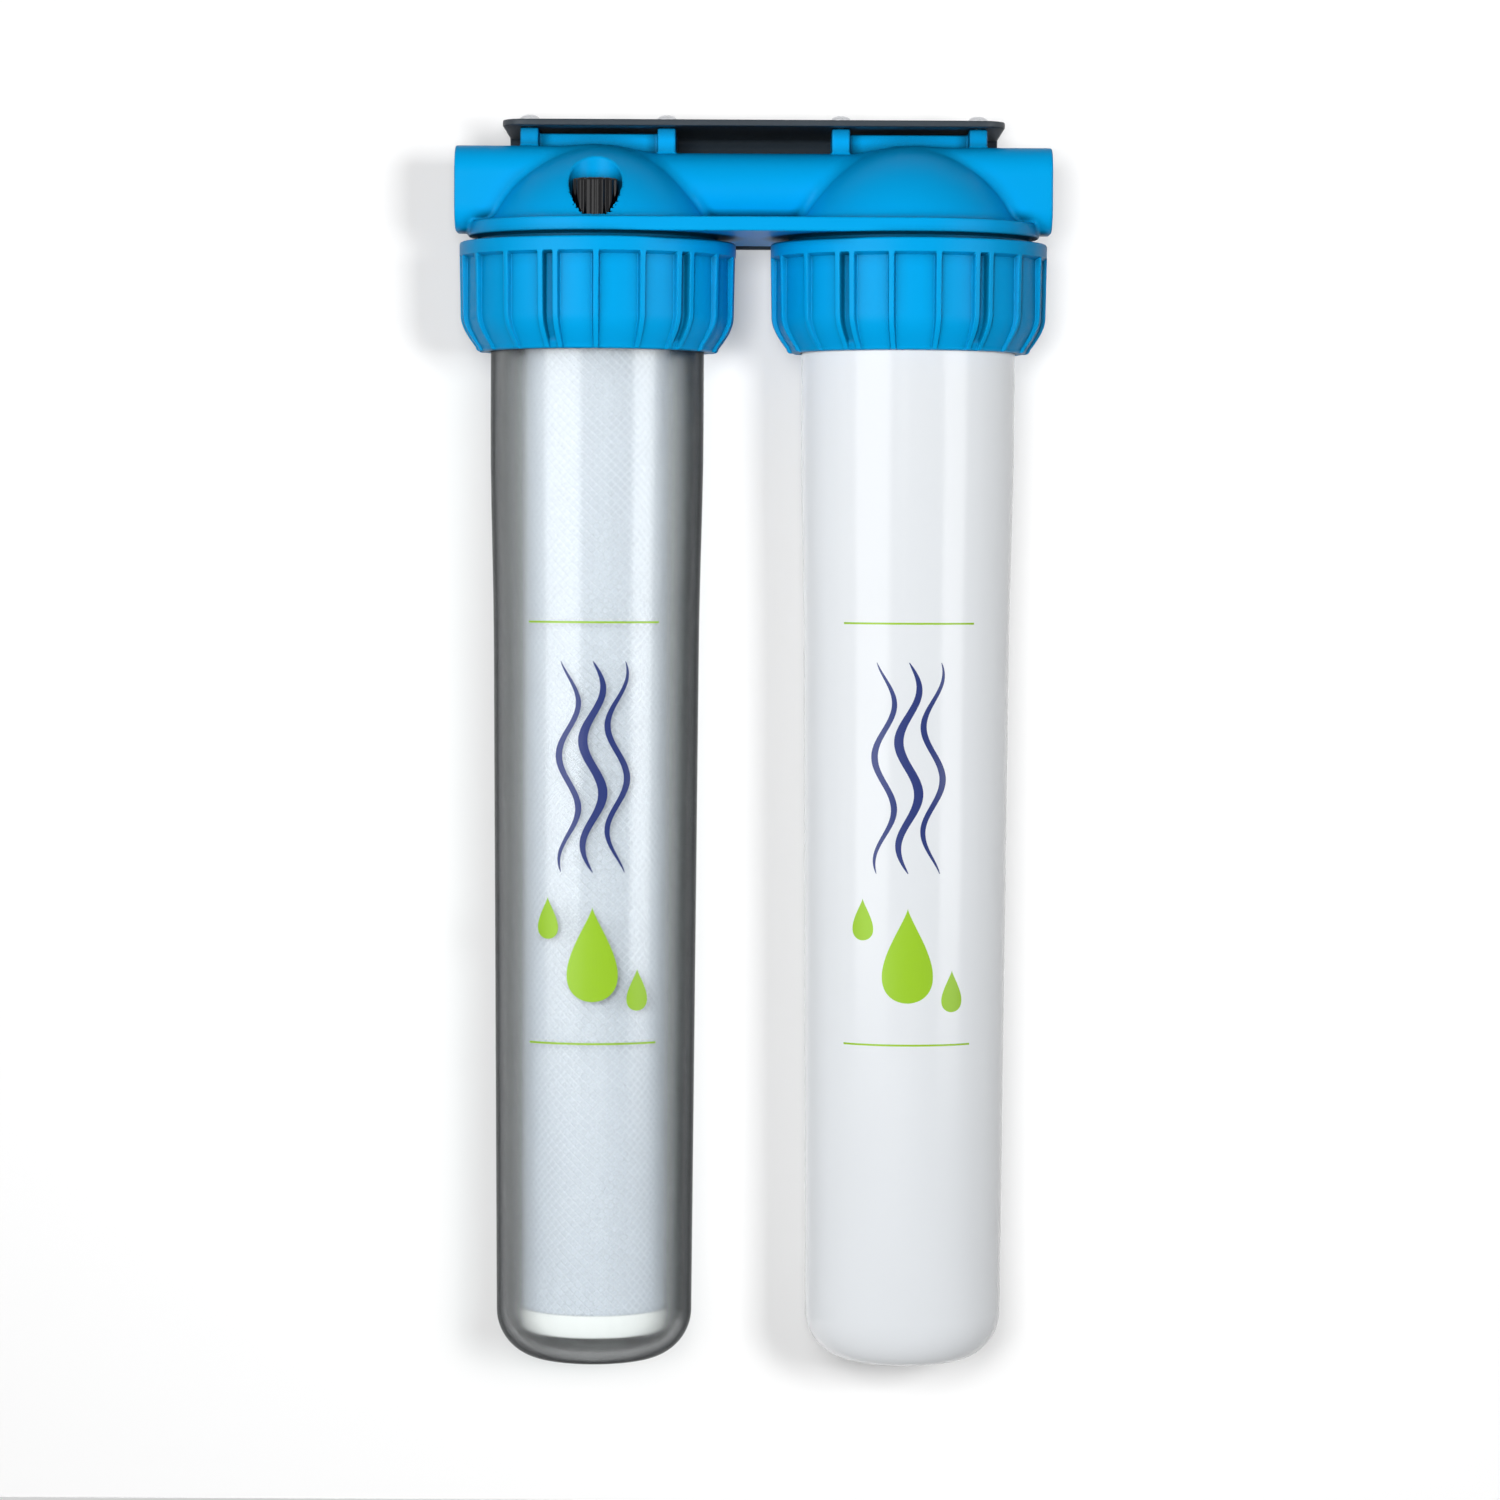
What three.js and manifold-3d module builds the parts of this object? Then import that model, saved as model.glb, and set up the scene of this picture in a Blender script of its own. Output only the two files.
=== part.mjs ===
// Salt-free water softener: two tall bowls hung by ring nuts under one moulded twin head.
// Millimetres, +Z up, front towards -Y. The origin is the middle of the bracket's wall face.

import * as THREE from "three";
import { mergeVertices } from "three/addons/utils/BufferGeometryUtils.js";
import Module from "manifold-3d";

const wasm = await Module();
wasm.setup();

// Layout
const axisSpacing = 146.4;
const axisToWall = 75;
const collarReach = 66.6;
const seatGap = 0.3;
const cutOverrun = 2;
const rootDepth = 1;
const weldDistance = 0.0005;

// Facets round a full turn
const wideFacets = 30;
const bowlFacets = 28;
const cupFacets = 24;
const innerFacets = 16;
const smallFacets = 12;
const screwFacets = 8;
const cordFacets = 5;
const domeSteps = 4;
const cupSteps = 3;
const cornerSteps = 3;

// Bowls and their seals
const bowlWaterGap = 7.4;
const bowlDraft = 3.3;
const bowlWall = 3.8;
const bowlCornerRadius = 23;
const bowlFloor = 5;
const rimReach = 6.5;
const rimThickness = 7.7;
const rimToSkirt = 0.6;
const sealInset = 4;
const sealCord = 3.4;
const bowlSeatHeight = 6.5;
const bowlSeatWidth = 4;
const bowlStubClearance = 0.8;
const bowlStubReach = 5;
const bowlStubChamfer = 1.5;

// Ring nut
const nutTopGap = 2.1;
const nutHeight = 51.2;
const nutBandHeight = 6.3;
const nutWall = 4.5;
const nutRibStand = 2.5;
const nutFootWall = 5.5;
const nutTaperHeight = 17;
const nutEdge = 1.2;
const nutLipHeight = 12;
const nutLipClearance = 1;
const rimClearance = 2;
const threadClearance = 0.6;
const ribWidth = 4;
const ribFootDepth = 1.2;
const pairGrooveDepth = 1.5;
const pairHalfAngleDegrees = 3.3;
const sectorCount = 6;
const singleRibSectorShares = [0.337, 0.663];
const leftNutPhaseDegrees = -19.2;
const rightNutPhaseDegrees = -29;

// Head
const flangeThickness = 7.2;
const flangeReach = 3.6;
const skirtWall = 9.9;
const skirtChamfer = 1.5;
const domeInset = 4.8;
const domeCentreDrop = 12;
const domeWall = 5;
const portHeight = 22.8;
const ductBoreRadius = 9.5;
const ductWall = 3.5;
const crossTubeWall = 8.1;
const collarWall = 3.4;
const collarCornerRadius = 13;
const collarEdge = 1.2;
const portStep = 1.1;
const spigotShoulder = 5.5;
const spigotReach = 4.5;
const spigotNoseWall = 3;
const spigotNoseReach = 6;
const railRise = 7.8;
const railWidth = 8.5;
const railOffset = 32.25;
const railFront = 4.5;
const railBack = 44;
const tieWallFront = 6;
const tieWallThickness = 3.5;
const tieWallDrop = 2;

// Port inserts
const insertBoreRadius = 12.1;
const insertWall = 4.4;
const insertLength = 18;
const insertChamfer = 1.2;

// Vent
const ventInset = 15.6;
const ventFingerRoom = 3.1;
const ventPocketWall = 3;
const ventFloorThickness = 6;
const ventKnobRadius = 10;
const ventKnobHeight = 17.5;
const ventKnobCrown = 2.5;
const ventFluteDepth = 1.1;
const ventFluteCount = 12;
const ventRibWidth = 2.4;
const ventKnobLift = 0.7;
const ventStemRadius = 3;
const ventStemReach = 9;
const ventStemPoint = 1.6;
const ventRingReach = 2.2;
const ventRingCord = 1.6;

// Cartridges
const cartridgeLength = 508;
const capRadius = 35;
const capWall = 1.1;
const capSkirtHeight = 10.5;
const capFace = 3;
const capEdge = 1;
const sleeveWall = 2.8;
const coreWall = 1.7;
const gasketThickness = 1.9;
const gasketClearance = 1;
const gasketMargin = 2;
const canisterWall = 2.2;
const screenThickness = 3;
const inletSlotCount = 8;
const inletSlotWidth = 2;
const inletSlotLength = 5;

// Wall bracket
const bracketThickness = 3;
const bracketEndReach = 12.55;
const bracketOverhang = 8.5;
const bracketLegReach = 0.5;
const bracketBendRadius = 5;
const bracketCornerRadius = 12;
const bracketHoleClearance = 0.65;
const wallSlotWidth = 7;
const wallSlotLength = 16;
const wallSlotInnerOffset = 48;
const wallSlotEndInset = 18;
const wallSlotRise = 8;

// Bracket screws
const screwShankRadius = 2.1;
const screwHeadRadius = 4.6;
const screwHeadHeight = 2.8;
const screwCrownShare = 2 / 3;
const screwBite = 13;
const screwPoint = 1.5;
const screwFrontInset = 6.5;
const screwBackInset = 7;

// Radii that follow from the water ways
const spigotNoseRadius = ductBoreRadius + spigotNoseWall;
const spigotRadius = spigotNoseRadius + spigotShoulder;
const crossTubeRadius = ductBoreRadius + crossTubeWall;
const coreBoreRadius = spigotNoseRadius + seatGap;
const coreRadius = coreBoreRadius + coreWall;
const bowlStubRadius = coreBoreRadius - bowlStubClearance;
const gasketInnerRadius = spigotNoseRadius + gasketClearance;
const portBoreRadius = insertBoreRadius - portStep;
const insertRadius = insertBoreRadius + insertWall;
const collarHalfHeight = insertRadius + seatGap + collarWall;

// Radii that follow from the cartridge's cap outwards
const sleeveRadius = capRadius - capWall - seatGap;
const gasketRadius = (coreRadius + sleeveRadius) / 2;
const inletSlotRadius = (gasketRadius + sleeveRadius) / 2;
const bowlSeatRadius = gasketRadius - gasketMargin;
const bowlFootRadius = capRadius + bowlWaterGap + bowlWall;
const bowlNeckRadius = bowlFootRadius + bowlDraft;
const rimRadius = bowlNeckRadius + rimReach;
const sealRadius = rimRadius - sealInset;
const nutBoreRadius = rimRadius + rimClearance;
const nutLipRadius = bowlNeckRadius + nutLipClearance;
const nutFootRadius = nutLipRadius + nutFootWall;
const nutPanelRadius = nutBoreRadius + nutWall;
const nutBandRadius = nutPanelRadius + nutRibStand;
const skirtRadius = nutBoreRadius - threadClearance;
const cupRadius = skirtRadius - skirtWall;
const flangeEndRadius = skirtRadius + flangeReach;
const domeRadius = flangeEndRadius - domeInset;
const ventForward = domeRadius - ventInset;
const ventPocketRadius = ventKnobRadius + ventFingerRoom;
const ventRingRadius = ventStemRadius + ventRingReach;

// Heights measured from the flange's underside
const nutTop = -nutTopGap;
const nutBottom = nutTop - nutHeight;
const nutShoulder = nutBottom + nutLipHeight;
const rimBottom = nutShoulder + seatGap;
const rimTop = rimBottom + rimThickness;
const skirtBottom = rimTop + rimToSkirt;
const cartridgeTop = -(spigotReach + seatGap + gasketThickness + seatGap);
const cartridgeBottom = cartridgeTop - cartridgeLength;
const bowlSeatTop = cartridgeBottom - seatGap - gasketThickness - seatGap;
const bowlFloorTop = bowlSeatTop - bowlSeatHeight;
const bowlBottom = bowlFloorTop - bowlFloor;
const domeTop = domeRadius - domeCentreDrop;
const railTopHeight = domeTop + railRise;
const bracketUnderside = railTopHeight + seatGap;
const bracketTop = bracketUnderside + bracketThickness;
const bracketLegBottom = -bracketLegReach;
const flangeLevel = -(bracketTop + bracketLegBottom) / 2;

// Places across the width and the depth
const portSpan = axisSpacing + 2 * collarReach;
const bracketHalfWidth = axisSpacing / 2 + railOffset + bracketEndReach;
const bracketFrontEdge = railFront + bracketOverhang;
const bracketHoleRadius = screwShankRadius + bracketHoleClearance;
const wallSlotOffsets = [wallSlotInnerOffset, bracketHalfWidth - wallSlotEndInset];
const screwRows = [screwFrontInset - railFront, railBack - screwBackInset];

// Materials
const bluePlastic = { color: 0x0096dc, roughness: 0.34, metalness: 0 };
const clearPlastic = { color: 0xdfe8ea, roughness: 0.08, metalness: 0, transparent: true, opacity: 0.35 };
const whitePlastic = { color: 0xe8ecef, roughness: 0.3, metalness: 0 };
const netSleeve = { color: 0xe4e7ee, roughness: 0.85, metalness: 0 };
const carbon = { color: 0x1b1b1c, roughness: 0.9, metalness: 0 };
const mediaBeads = { color: 0xd8d2c0, roughness: 0.7, metalness: 0 };
const blackRubber = { color: 0x17181a, roughness: 0.65, metalness: 0 };
const blackPlastic = { color: 0x0d0d0f, roughness: 0.4, metalness: 0 };
const brass = { color: 0xc39a4c, roughness: 0.3, metalness: 1 };
const slatePaint = { color: 0x2a3138, roughness: 0.5, metalness: 0.3 };
const zincSteel = { color: 0xb9bdc0, roughness: 0.35, metalness: 1 };

// Removes seams and collapsed faces, so that a closed form shares its corners
function welded(geometry) {
  const bare = geometry.clone();
  bare.deleteAttribute("normal");
  bare.deleteAttribute("uv");
  const merged = mergeVertices(bare, weldDistance);
  const corners = merged.index.array;
  const kept = [];
  for (let i = 0; i < corners.length; i += 3) {
    const [a, b, c] = [corners[i], corners[i + 1], corners[i + 2]];
    if (a !== b && b !== c && c !== a) kept.push(a, b, c);
  }
  merged.setIndex(kept);
  return merged;
}

function solid(geometry) {
  const closed = welded(geometry);
  return new wasm.Manifold(new wasm.Mesh({
    numProp: 3,
    vertProperties: new Float32Array(closed.attributes.position.array),
    triVerts: new Uint32Array(closed.index.array),
  }));
}

function geometryOf(body) {
  const mesh = body.getMesh();
  const geometry = new THREE.BufferGeometry();
  geometry.setAttribute("position", new THREE.BufferAttribute(mesh.vertProperties, 3));
  geometry.setIndex(new THREE.BufferAttribute(mesh.triVerts, 1));
  geometry.computeVertexNormals();
  return geometry;
}

// Points of an arc in a profile, from one angle to another in degrees
function arc(centreX, centreY, radius, fromDegrees, toDegrees, steps = cornerSteps) {
  const points = [];
  for (let i = 0; i <= steps; i += 1) {
    const angle = THREE.MathUtils.degToRad(fromDegrees + (toDegrees - fromDegrees) * i / steps);
    points.push([centreX + radius * Math.cos(angle), centreY + radius * Math.sin(angle)]);
  }
  return points;
}

// A profile of radius and height, anticlockwise, turned about Z
function revolve(profile, facets = wideFacets) {
  const points = profile.map(([radius, height]) => new THREE.Vector2(radius, height));
  return new THREE.LatheGeometry(points, facets).rotateX(Math.PI / 2);
}

function ring(innerRadius, outerRadius, bottom, top, facets = innerFacets) {
  return revolve([
    [innerRadius, bottom], [outerRadius, bottom], [outerRadius, top], [innerRadius, top], [innerRadius, bottom],
  ], facets);
}

function rod(radius, bottom, top, facets = innerFacets) {
  return revolve([[0, bottom], [radius, bottom], [radius, top], [0, top]], facets);
}

function outline(points) {
  return new THREE.Shape(points.map(([x, y]) => new THREE.Vector2(x, y)));
}

function extrude(shape, depth) {
  return new THREE.ExtrudeGeometry(shape, { depth, bevelEnabled: false, curveSegments: cornerSteps });
}

// Turns a form that was built along Z so that it runs along X, with its own X along Y
function alongX(geometry) {
  const turn = new THREE.Matrix4().makeBasis(
    new THREE.Vector3(0, 1, 0), new THREE.Vector3(0, 0, 1), new THREE.Vector3(1, 0, 0),
  );
  return geometry.applyMatrix4(turn);
}

function box(x0, x1, y0, y1, z0, z1) {
  const block = new THREE.BoxGeometry(x1 - x0, y1 - y0, z1 - z0);
  return block.translate((x0 + x1) / 2, (y0 + y1) / 2, (z0 + z1) / 2);
}

function roundedRectangle(halfX, halfY, radius) {
  return [
    ...arc(halfX - radius, halfY - radius, radius, 0, 90),
    ...arc(-halfX + radius, halfY - radius, radius, 90, 180),
    ...arc(-halfX + radius, -halfY + radius, radius, 180, 270),
    ...arc(halfX - radius, -halfY + radius, radius, 270, 360),
  ];
}

// A rib of a constant width, standing on a body that is turned about Z
function radialRib(profile, width, angle) {
  const slab = extrude(outline(profile), width).rotateX(Math.PI / 2);
  return solid(slab.translate(0, width / 2, 0).rotateZ(angle));
}

// An angle seen from the front, where zero faces the viewer and positive is to the right
function frontAngle(degrees) {
  return THREE.MathUtils.degToRad(degrees) - Math.PI / 2;
}

function torus(radius, cordRadius, height, facets) {
  const circle = arc(radius, height, cordRadius, 0, 360, cordFacets);
  return revolve(circle, facets);
}

// Ring nut
function nutGeometry(phaseDegrees) {
  const bandBottom = nutTop - nutBandHeight;
  const taperTop = nutBottom + nutTaperHeight;
  const panelFoot = nutFootRadius + ribFootDepth / 2;
  const body = revolve([
    [nutLipRadius, nutBottom],
    [nutFootRadius - nutEdge, nutBottom],
    [panelFoot, nutBottom + nutEdge],
    [(panelFoot + nutPanelRadius) / 2 + nutEdge, nutBottom + nutTaperHeight / 2],
    [nutPanelRadius, taperTop],
    [nutPanelRadius, bandBottom],
    [nutBandRadius, bandBottom],
    [nutBandRadius, nutTop - nutEdge],
    [nutBandRadius - nutEdge, nutTop],
    [nutBoreRadius + nutEdge, nutTop],
    [nutBoreRadius, nutTop - nutEdge],
    [nutBoreRadius, nutShoulder],
    [nutLipRadius, nutShoulder],
    [nutLipRadius, nutBottom],
  ]);
  const ribFoot = panelFoot + ribFootDepth;
  const ribProfile = [
    [ribFoot - rootDepth - ribFootDepth, nutBottom + nutEdge],
    [ribFoot, nutBottom + nutEdge],
    [(ribFoot + nutBandRadius) / 2 + nutEdge, nutBottom + nutTaperHeight / 2],
    [nutBandRadius, taperTop],
    [nutBandRadius, bandBottom + rootDepth],
    [nutPanelRadius - rootDepth, bandBottom + rootDepth],
    [nutPanelRadius - rootDepth, taperTop],
  ];
  const sectorDegrees = 360 / sectorCount;
  let nut = solid(body);
  for (let sector = 0; sector < sectorCount; sector += 1) {
    const middle = phaseDegrees + sector * sectorDegrees;
    const pair = [-pairHalfAngleDegrees, pairHalfAngleDegrees];
    const singles = singleRibSectorShares.map((share) => share * sectorDegrees);
    for (const offset of [...pair, ...singles]) {
      nut = nut.add(radialRib(ribProfile, ribWidth, frontAngle(middle + offset)));
    }
    const halfGap = nutPanelRadius * Math.sin(THREE.MathUtils.degToRad(pairHalfAngleDegrees)) - ribWidth / 2;
    const groove = box(
      nutPanelRadius - pairGrooveDepth, nutBandRadius + cutOverrun, -halfGap, halfGap, taperTop, bandBottom,
    );
    nut = nut.subtract(solid(groove.rotateZ(frontAngle(middle))));
  }
  return geometryOf(nut);
}

// Bowl with its rim, seal groove, cartridge seat and locating stub
function bowlGeometry() {
  const cornerCentre = bowlFootRadius - bowlCornerRadius;
  const innerCorner = bowlCornerRadius - bowlWall;
  const grooveHalf = sealCord / 2 + seatGap;
  const grooveBottom = skirtBottom - seatGap - sealCord - seatGap;
  const seatInner = bowlSeatRadius - bowlSeatWidth;
  const stubTop = cartridgeBottom + bowlStubReach;
  return revolve([
    [0, bowlBottom],
    ...arc(cornerCentre, bowlBottom + bowlCornerRadius, bowlCornerRadius, 270, 360),
    [bowlNeckRadius, rimBottom],
    [rimRadius, rimBottom],
    [rimRadius, rimTop],
    [sealRadius + grooveHalf, rimTop],
    [sealRadius + grooveHalf, grooveBottom],
    [sealRadius - grooveHalf, grooveBottom],
    [sealRadius - grooveHalf, rimTop],
    [bowlNeckRadius - bowlWall, rimTop],
    ...arc(cornerCentre, bowlFloorTop + innerCorner, innerCorner, 360, 270),
    [bowlSeatRadius, bowlFloorTop],
    [bowlSeatRadius, bowlSeatTop],
    [seatInner, bowlSeatTop],
    [seatInner, bowlFloorTop],
    [bowlStubRadius, bowlFloorTop],
    [bowlStubRadius, stubTop - bowlStubChamfer],
    [bowlStubRadius - bowlStubChamfer, stubTop],
    [0, stubTop],
  ], bowlFacets);
}

function bowlSealGeometry() {
  const height = skirtBottom - seatGap - sealCord / 2;
  return torus(sealRadius, sealCord / 2, height, bowlFacets);
}

// Twin head: flange, domes, skirts, cross tube, port collars and bracket rails, with its water ways
function headGeometry() {
  const halfSpacing = axisSpacing / 2;
  const halfSpan = portSpan / 2;
  const domeCentre = -domeCentreDrop;
  const sphereStart = (radius, height) => THREE.MathUtils.radToDeg(Math.asin(height / radius));
  const cup = domeRadius - domeWall;
  const cupStart = THREE.MathUtils.radToDeg(Math.acos(cupRadius / cup));
  const ventFloor = flangeThickness;

  const flangeShape = new THREE.Shape();
  flangeShape.absarc(halfSpacing, 0, flangeEndRadius, -Math.PI / 2, Math.PI / 2, false);
  flangeShape.absarc(-halfSpacing, 0, flangeEndRadius, Math.PI / 2, 3 * Math.PI / 2, false);
  let head = solid(new THREE.ExtrudeGeometry(flangeShape, {
    depth: flangeThickness, bevelEnabled: false, curveSegments: wideFacets / 2,
  }));

  const dome = revolve([
    [0, rootDepth],
    ...arc(0, domeCentre, domeRadius, sphereStart(domeRadius, domeCentreDrop + rootDepth), 90, domeSteps),
  ]);
  const skirt = revolve([
    [0, skirtBottom],
    [skirtRadius - skirtChamfer, skirtBottom],
    [skirtRadius, skirtBottom + skirtChamfer],
    [skirtRadius, rootDepth],
    [0, rootDepth],
  ]);
  const collarLength = halfSpan - halfSpacing;
  const collarShape = outline(roundedRectangle(collarHalfHeight, collarHalfHeight, collarCornerRadius));
  const collar = alongX(new THREE.ExtrudeGeometry(collarShape, {
    depth: collarLength - collarEdge, bevelThickness: collarEdge, bevelSize: collarEdge,
    bevelOffset: -collarEdge, bevelSegments: 1, curveSegments: cornerSteps,
  }));
  const domes = [-halfSpacing, halfSpacing].map((x) => solid(dome.clone().translate(x, 0, 0)));
  for (const form of domes) head = head.add(form);
  for (const side of [-1, 1]) {
    const x = side * halfSpacing;
    head = head.add(solid(skirt.clone().translate(x, 0, 0)));
    const ownCollar = collar.clone().rotateZ(side < 0 ? Math.PI : 0);
    head = head.add(solid(ownCollar.translate(x, 0, portHeight)));
    for (const edge of [-1, 1]) {
      const middle = x + edge * railOffset;
      const rail = box(
        middle - railWidth / 2, middle + railWidth / 2, -railFront, railBack, rootDepth, railTopHeight,
      );
      head = head.add(solid(rail));
    }
    const tieWall = box(
      x - railOffset, x + railOffset, tieWallFront, tieWallFront + tieWallThickness,
      rootDepth, railTopHeight - tieWallDrop,
    );
    head = head.add(solid(tieWall));
  }
  const crossTube = alongX(rod(crossTubeRadius, -halfSpacing, halfSpacing)).translate(0, 0, portHeight);
  head = head.add(solid(crossTube));

  // Cups, open downwards, with the spigot, its duct and the vent's boss left standing inside
  for (const [side, ownDome] of [[-1, domes[0]], [1, domes[1]]]) {
    const x = side * halfSpacing;
    const cupSpace = revolve([
      [0, skirtBottom - cutOverrun],
      [cupRadius, skirtBottom - cutOverrun],
      ...arc(0, domeCentre, cup, cupStart, 90, cupSteps),
    ], cupFacets);
    head = head.subtract(solid(cupSpace.translate(x, 0, 0)));
    const spigot = revolve([
      [0, cartridgeTop - spigotNoseReach],
      [spigotNoseRadius, cartridgeTop - spigotNoseReach],
      [spigotNoseRadius, -spigotReach],
      [spigotRadius, -spigotReach],
      [spigotRadius, domeTop - domeWall + rootDepth],
      [0, domeTop - domeWall + rootDepth],
    ], innerFacets);
    const ductRadius = ductBoreRadius + ductWall;
    const duct = alongX(rod(ductRadius, 0, cupRadius + rootDepth, smallFacets)).translate(0, 0, portHeight);
    head = head.add(solid(spigot.translate(x, 0, 0)));
    head = head.add(solid(duct.translate(x, 0, 0)).intersect(ownDome));
    if (side < 0) {
      const boss = rod(
        ventPocketRadius + ventPocketWall, ventFloor - ventFloorThickness, domeTop, innerFacets,
      );
      head = head.add(solid(boss.translate(x, -ventForward, 0)).intersect(ownDome));
    }
  }

  // Water ways, port sockets, vent pocket and screw pilots
  const socketDepth = insertLength + seatGap;
  const spigotBoreTop = portHeight + ductBoreRadius;
  for (const side of [-1, 1]) {
    const x = side * halfSpacing;
    const bore = rod(ductBoreRadius, cartridgeTop - spigotNoseReach - cutOverrun, spigotBoreTop, smallFacets);
    head = head.subtract(solid(bore.translate(x, 0, 0)));
    const socket = alongX(rod(insertRadius + seatGap, 0, socketDepth + cutOverrun)).translate(0, 0, portHeight);
    const mouth = side < 0 ? -halfSpan - cutOverrun : halfSpan - socketDepth;
    head = head.subtract(solid(socket.translate(mouth, 0, 0)));
    for (const edge of [-1, 1]) {
      for (const row of screwRows) {
        const pilot = rod(
          screwShankRadius + seatGap, railTopHeight - screwBite - screwPoint, railTopHeight + cutOverrun,
          screwFacets,
        );
        head = head.subtract(solid(pilot.translate(x + edge * railOffset, row, 0)));
      }
    }
  }
  const waterWays = [
    [portBoreRadius, -halfSpan, -halfSpacing - spigotRadius - cutOverrun],
    [ductBoreRadius, -halfSpacing, halfSpacing - spigotRadius - cutOverrun],
    [ductBoreRadius, halfSpacing, halfSpan - socketDepth + cutOverrun],
  ];
  for (const [radius, from, to] of waterWays) {
    head = head.subtract(solid(alongX(rod(radius, from, to, smallFacets)).translate(0, 0, portHeight)));
  }
  const pocket = rod(ventPocketRadius, ventFloor, domeTop + cutOverrun, innerFacets);
  head = head.subtract(solid(pocket.translate(-halfSpacing, -ventForward, 0)));
  const stemBore = rod(
    ventStemRadius + seatGap, ventFloor - ventFloorThickness - cutOverrun, ventFloor + cutOverrun, smallFacets,
  );
  head = head.subtract(solid(stemBore.translate(-halfSpacing, -ventForward, 0)));
  return geometryOf(head);
}

// Brass insert of a port, with its mouth at the collar's end
function insertGeometry() {
  return alongX(revolve([
    [insertBoreRadius, -insertLength],
    [insertRadius - insertChamfer, -insertLength],
    [insertRadius, insertChamfer - insertLength],
    [insertRadius, 0],
    [insertBoreRadius + insertChamfer, 0],
    [insertBoreRadius, -insertChamfer],
    [insertBoreRadius, -insertLength],
  ], innerFacets));
}

// Vent knob with its flutes and stem, moulded in one
function ventKnobGeometry() {
  const bottom = flangeThickness + ventKnobLift;
  const top = bottom + ventKnobHeight;
  const grooveDepth = ventRingCord + 2 * seatGap - ventKnobLift;
  const grooveHalf = ventRingCord / 2 + seatGap;
  const fluteRadius = ventKnobRadius - ventFluteDepth;
  const tip = bottom - ventStemReach;
  const flutes = [];
  for (let i = 0; i < ventFluteCount; i += 1) {
    const middle = frontAngle((i + 1 / 2) * 360 / ventFluteCount);
    const crest = ventRibWidth / 2 / ventKnobRadius;
    const root = Math.PI / ventFluteCount - crest / 2;
    const corners = [[fluteRadius, -root], [ventKnobRadius, -crest], [ventKnobRadius, crest], [fluteRadius, root]];
    for (const [radius, turn] of corners) {
      flutes.push([radius * Math.cos(middle + turn), radius * Math.sin(middle + turn)]);
    }
  }
  const grip = extrude(outline(flutes), ventKnobHeight).translate(0, 0, bottom);
  const crowned = revolve([
    [0, bottom - cutOverrun],
    [ventKnobRadius + rootDepth, bottom - cutOverrun],
    ...arc(ventKnobRadius + rootDepth - ventKnobCrown, top - ventKnobCrown, ventKnobCrown, 0, 90),
    [0, top],
  ], smallFacets);
  const stem = revolve([
    [0, tip],
    [ventStemRadius - ventStemPoint, tip],
    [ventStemRadius, tip + ventStemPoint],
    [ventStemRadius, bottom + rootDepth],
    [0, bottom + rootDepth],
  ], smallFacets);
  const ringGroove = ring(
    ventRingRadius - grooveHalf, ventRingRadius + grooveHalf, bottom - cutOverrun, bottom + grooveDepth, smallFacets,
  );
  const knob = solid(grip).intersect(solid(crowned)).add(solid(stem)).subtract(solid(ringGroove));
  return geometryOf(knob);
}

function ventRingGeometry() {
  const height = flangeThickness + seatGap + ventRingCord / 2;
  return torus(ventRingRadius, ventRingCord / 2, height, smallFacets);
}

// Open end cap, built with its face down and its skirt up
function openCapGeometry() {
  const skirtBore = sleeveRadius + seatGap;
  return revolve([
    [coreBoreRadius, 0],
    [capRadius - capEdge, 0],
    [capRadius, capEdge],
    [capRadius, capSkirtHeight],
    [skirtBore, capSkirtHeight],
    [skirtBore, capFace],
    [coreBoreRadius, capFace],
    [coreBoreRadius, 0],
  ], innerFacets);
}

// Inlet cap of the softener, closed over the bowl's stub and slotted near its rim
function inletCapGeometry() {
  const skirtBore = sleeveRadius + seatGap;
  const stubBore = bowlStubRadius + seatGap;
  const stubCeiling = bowlStubReach + seatGap;
  let cap = solid(revolve([
    [0, stubCeiling],
    [stubBore, stubCeiling],
    [stubBore, 0],
    [capRadius - capEdge, 0],
    [capRadius, capEdge],
    [capRadius, capSkirtHeight],
    [skirtBore, capSkirtHeight],
    [skirtBore, capFace],
    [stubBore + coreWall, capFace],
    [stubBore + coreWall, stubCeiling + coreWall],
    [0, stubCeiling + coreWall],
  ], innerFacets));
  for (let i = 0; i < inletSlotCount; i += 1) {
    const slot = box(
      inletSlotRadius - inletSlotLength / 2, inletSlotRadius + inletSlotLength / 2,
      -inletSlotWidth / 2, inletSlotWidth / 2, -cutOverrun, capFace + cutOverrun,
    );
    cap = cap.subtract(solid(slot.rotateZ(i * 2 * Math.PI / inletSlotCount)));
  }
  return geometryOf(cap);
}

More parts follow.
